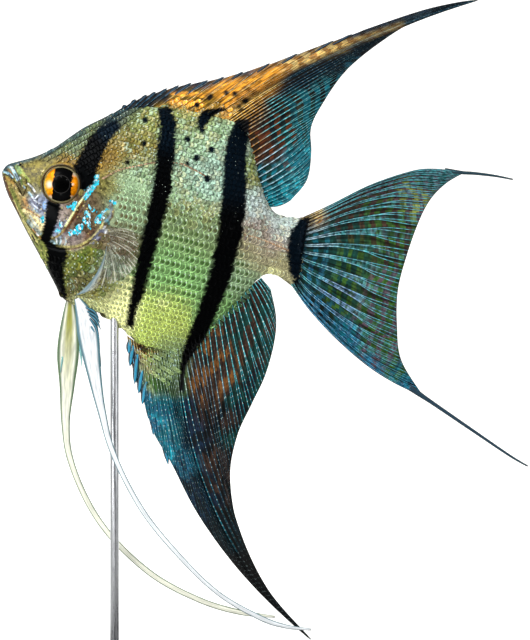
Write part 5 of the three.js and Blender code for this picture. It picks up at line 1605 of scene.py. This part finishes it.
class ANGELFISH_OT_sheaths(bpy.types.Operator):
    """Lay the small scales that climb from the body on to the back fin and the anal fin."""

    bl_idname = "angelfish.sheaths"
    bl_label = "Fin Sheaths"

    def execute(self, context):
        hues, sizes = context.scene.fish_hues, context.scene.fish_sizes
        rng = np.random.default_rng(sizes.seed + 1)
        pitch, row = sizes.scale_pitch / MM, sizes.row_pitch / MM
        material = bpy.data.objects["body_scales_left"].data.materials[0]
        for fin, outline in SHEATHS.items():
            zones = DORSAL_ZONES if fin == "dorsal_fin" else ANAL_ZONES

            def fin_paint(colour, x, z):
                share = (1 - ramp(inside(x, z, outline), 0, 2.2))[:, None] * 0.9
                fin_colour = 1.5 * zoned(hues, zones, x, z)
                return colour + share * (fin_colour - colour)

            lean = radians(-25 if fin == "dorsal_fin" else 32)
            found = scale_rows(pitch, row, lean, (-20, 100), rng, lambda a: 0.72, lambda b: 0.62)
            found = found[inside(found[:, 0], found[:, 1], outline) + rng.normal(0, 0.4, len(found)) > 0]
            found = found[np.hypot(found[:, 0] + 20, found[:, 1] - 100) < 60]
            for side, word in ((-1, "left"), (1, "right")):
                mesh = lay_scales(f"{fin}_sheath_{word}", hues, side, found, surface_of(fin),
                                  lambda x, z: -lean, radians(7), row * 1.1, pitch * 1.9, rng, -0.1,
                                  fin_paint, 0.2)
                show(mesh, material)
        return {"FINISHED"}


# ---- Eyes and stand -----------------------------------------------------------------------------


class ANGELFISH_OT_eyes(bpy.types.Operator):
    """Build the eyeballs and the rings around them."""

    bl_idname = "angelfish.eyes"
    bl_label = "Eyes"

    def execute(self, context):
        look = context.scene.eye_look
        x, y, z = EYE_AT
        radius, half, deep, out = EYE_RING
        ring_material = plain_material("Eye ring skin", look.socket, (0.4, 0.4, 0.4), (0.2, 0.4), 0.3,
                                       Coat_Weight=0.5, Metallic=0.3)
        for side, word in ((-1, "left"), (1, "right")):
            middle = Matrix.Translation((x * MM, side * y * MM, (z + FISH_LIFT) * MM))
            bm = bmesh.new()
            size = Matrix.Diagonal((look.radius, look.depth, look.radius, 1))
            bmesh.ops.create_uvsphere(bm, u_segments=64, v_segments=40, radius=1,
                                      matrix=middle @ size @ Matrix.Rotation(pi / 2, 4, "X"))
            show(closed(bm, f"eyeball_{word}"), eye_material(look, word), (f"eye_{word}",))
            bm = bmesh.new()
            start = Matrix.Translation((radius, 0, 0)) @ Matrix.Diagonal((half, deep, half, 1))
            bmesh.ops.create_circle(bm, segments=12, radius=1, matrix=start @ Matrix.Rotation(pi, 4, "X"))
            bmesh.ops.spin(bm, geom=bm.verts[:] + bm.edges[:], axis=(0, 1, 0), cent=(0, 0, 0), steps=72,
                           angle=2 * pi, use_merge=True)
            bmesh.ops.recalc_face_normals(bm, faces=bm.faces)
            bmesh.ops.transform(bm, matrix=middle @ Matrix.Translation((0, side * out, 0)), verts=bm.verts)
            show(closed(bm, f"eye_ring_{word}"), ring_material)
        return {"FINISHED"}


BORE = 0.0014  # radius of the hole through the collar


class ANGELFISH_OT_stand(bpy.types.Operator):
    """Build the acrylic base, the steel collar and the rod that holds the fish."""

    bl_idname = "angelfish.stand"
    bl_label = "Stand"

    def execute(self, context):
        look = context.scene.stand_look
        low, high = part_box("stand_base")
        # Cast acrylic sheet, laser cut and flame polished: deep black with a soft, even gloss.
        acrylic = plain_material("Black cast acrylic", look.acrylic, (0.8, 0.8, 0.8), (0.16, 0.24), 0.05,
                                 IOR=1.49, Coat_Weight=0.2)
        bm = bmesh.new()
        span = high - low
        bmesh.ops.create_cube(bm, size=1,
                              matrix=Matrix.Translation((low + high) / 2) @ Matrix.Diagonal((*span, 1)))
        bevel(bm, True, 0.01, 12)
        bevel(bm, False, 0.0008, 3)
        show(closed(bm, "display_base", smooth=False), acrylic, ("stand_base",))
        # Turned and brushed stainless steel: fine lines round the collar and along the rod.
        steel = plain_material("Brushed stainless steel", look.steel, (0.15, 0.15, 3.0), (0.22, 0.4), 0.2,
                               Metallic=1.0)
        low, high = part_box("stand_collar")
        centre = ((low.x + high.x) / 2, (low.y + high.y) / 2)
        outer = (high.x - low.x) / 2
        tall = high.z - low.z
        bm = spun([(BORE, 0), (outer - 0.0002, 0), (outer, 0.0002), (outer, tall * 0.6),
                   (outer - 0.0003, tall * 0.72),
                   (outer - 0.0009, tall), (BORE, tall)], 48, ring=True)
        bmesh.ops.transform(bm, matrix=Matrix.Translation((*centre, low.z)), verts=bm.verts)
        show(closed(bm, "rod_collar", smooth=False), steel, ("stand_collar",))
        low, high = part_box("stand_rod")
        tall = high.z - low.z + 0.0006
        bm = bmesh.new()
        radius = (high.x - low.x) / 2
        bmesh.ops.create_cone(bm, segments=40, radius1=radius, radius2=radius, depth=tall, cap_ends=True,
                              matrix=Matrix.Translation((*centre, low.z + tall / 2)))
        bevel(bm, False, 0.0002, 2)
        show(closed(bm, "support_rod"), steel, ("stand_rod",))
        return {"FINISHED"}


# ---- Stage --------------------------------------------------------------------------------------


def lamp(name, power, size, at, aim):
    """A square soft lamp turned towards a point."""
    light = bpy.data.lights.new(name, "AREA")
    light.energy = power
    light.size = size
    made = bpy.data.objects.new(name, light)
    made.location = at
    made.rotation_euler = (Vector(aim) - Vector(at)).to_track_quat("-Z", "Y").to_euler()
    bpy.context.scene.collection.objects.link(made)


class ANGELFISH_OT_stage(bpy.types.Operator):
    """Set the pale backdrop, the lamps and the camera."""

    bl_idname = "angelfish.stage"
    bl_label = "Stage"

    def execute(self, context):
        look = context.scene.stage_look
        bm = spun([(0, 0), (1.3, 0), (1.55, 0.06), (1.75, 0.22), (1.85, 0.5), (1.9, 1.6)], 64, ring=False)
        mesh = closed(bm, "backdrop")
        # Matt photographic paper, lit from behind on the far side.
        material, add, shader = surface("Backdrop paper", Roughness=0.9, Specular_IOR_Level=0.1,
                                         Emission_Color=look.paper)
        spot = add("TexCoord", out=3)
        parts = add("SeparateXYZ", spot)
        far = add("MapRange", parts.node.outputs[1], -0.3, 0.3)
        shade = add("Mix RGBA", far, look.shade, look.paper)
        away = add("MapRange SMOOTHSTEP", parts.node.outputs[1], -0.15, 0.25, 0.02, look.glow)
        fill(shader.inputs, Base_Color=shade, Emission_Strength=away)
        mesh.materials.append(material)
        floor = bpy.data.objects.new("backdrop", mesh)
        context.scene.collection.objects.link(floor)

        lamp("key", look.key, 0.5, (-0.45, -0.55, 0.62), (-0.01, 0, 0.11))
        lamp("fill", look.fill, 0.5, (0.6, -0.5, 0.25), (0, 0, 0.1))
        lamp("top", look.fill, 0.6, (0.05, 0.15, 0.8), (0, 0, 0.12))
        lamp("low", look.fill * 1.6, 0.4, (-0.5, -0.5, 0.03), (-0.01, 0, 0.06))
        lamp("back", look.fill, 0.6, (0.2, 0.8, 0.4), (0, 0, 0.1))
        lamp("glint_above", look.glint, 0.018, (-0.1, -0.52, 0.43), (-0.01, 0, 0.11))
        lamp("glint_side", look.glint, 0.035, (0.12, -0.6, 0.34), (-0.01, 0, 0.11))
        lamp("glint_below", look.glint * 0.15, 0.007, (-0.067, -0.168, 0.0156), (-0.05, 0, 0.127))
        world = bpy.data.worlds.new("studio")
        world.use_nodes = True
        world.node_tree.nodes["Background"].inputs["Color"].default_value = (1, 1, 1, 1)
        world.node_tree.nodes["Background"].inputs["Strength"].default_value = 0.15
        context.scene.world = world
        context.scene.view_settings.view_transform = "Standard"

        camera = bpy.data.cameras.new("camera")
        camera.lens = look.lens
        camera.sensor_width = 36
        made = bpy.data.objects.new("camera", camera)
        made.location = (0, -look.distance, (FISH_LIFT + 80) * MM)
        made.rotation_euler = (pi / 2, 0, 0)
        context.scene.collection.objects.link(made)
        context.scene.camera = made
        return {"FINISHED"}


# ---- Add-on -------------------------------------------------------------------------------------

GROUPS = {"fish_hues": FishHues, "fish_sizes": FishSizes, "eye_look": EyeLook, "stand_look": StandLook,
          "stage_look": StageLook}
OPERATORS = (ANGELFISH_OT_skin, ANGELFISH_OT_scales, ANGELFISH_OT_dorsal_fin, ANGELFISH_OT_anal_fin,
             ANGELFISH_OT_tail_fin, ANGELFISH_OT_sheaths, ANGELFISH_OT_streamers, ANGELFISH_OT_belly_fins,
             ANGELFISH_OT_chest_fins,
             ANGELFISH_OT_eyes, ANGELFISH_OT_stand, ANGELFISH_OT_stage)


class ANGELFISH_PT_build(bpy.types.Panel):
    """Lists the pieces of the fish and their settings."""

    bl_label = "Angelfish"
    bl_space_type = "VIEW_3D"
    bl_region_type = "UI"
    bl_category = "Angelfish"

    def draw(self, context):
        for operator in OPERATORS:
            self.layout.operator(operator.bl_idname)
        for name, group in GROUPS.items():
            box = self.layout.box()
            box.label(text=name.replace("_", " ").title())
            for prop in group.__annotations__:
                box.prop(getattr(context.scene, name), prop)


def register():
    for cls in (*GROUPS.values(), *OPERATORS, ANGELFISH_PT_build):
        bpy.utils.register_class(cls)
    for name, group in GROUPS.items():
        setattr(bpy.types.Scene, name, PointerProperty(type=group))


def unregister():
    for name in GROUPS:
        delattr(bpy.types.Scene, name)
    for cls in (ANGELFISH_PT_build, *reversed(OPERATORS), *reversed(tuple(GROUPS.values()))):
        bpy.utils.unregister_class(cls)


def main():
    register()
    for operator in OPERATORS:
        getattr(bpy.ops.angelfish, operator.bl_idname.partition(".")[2])()


if __name__ == "__main__":
    main()
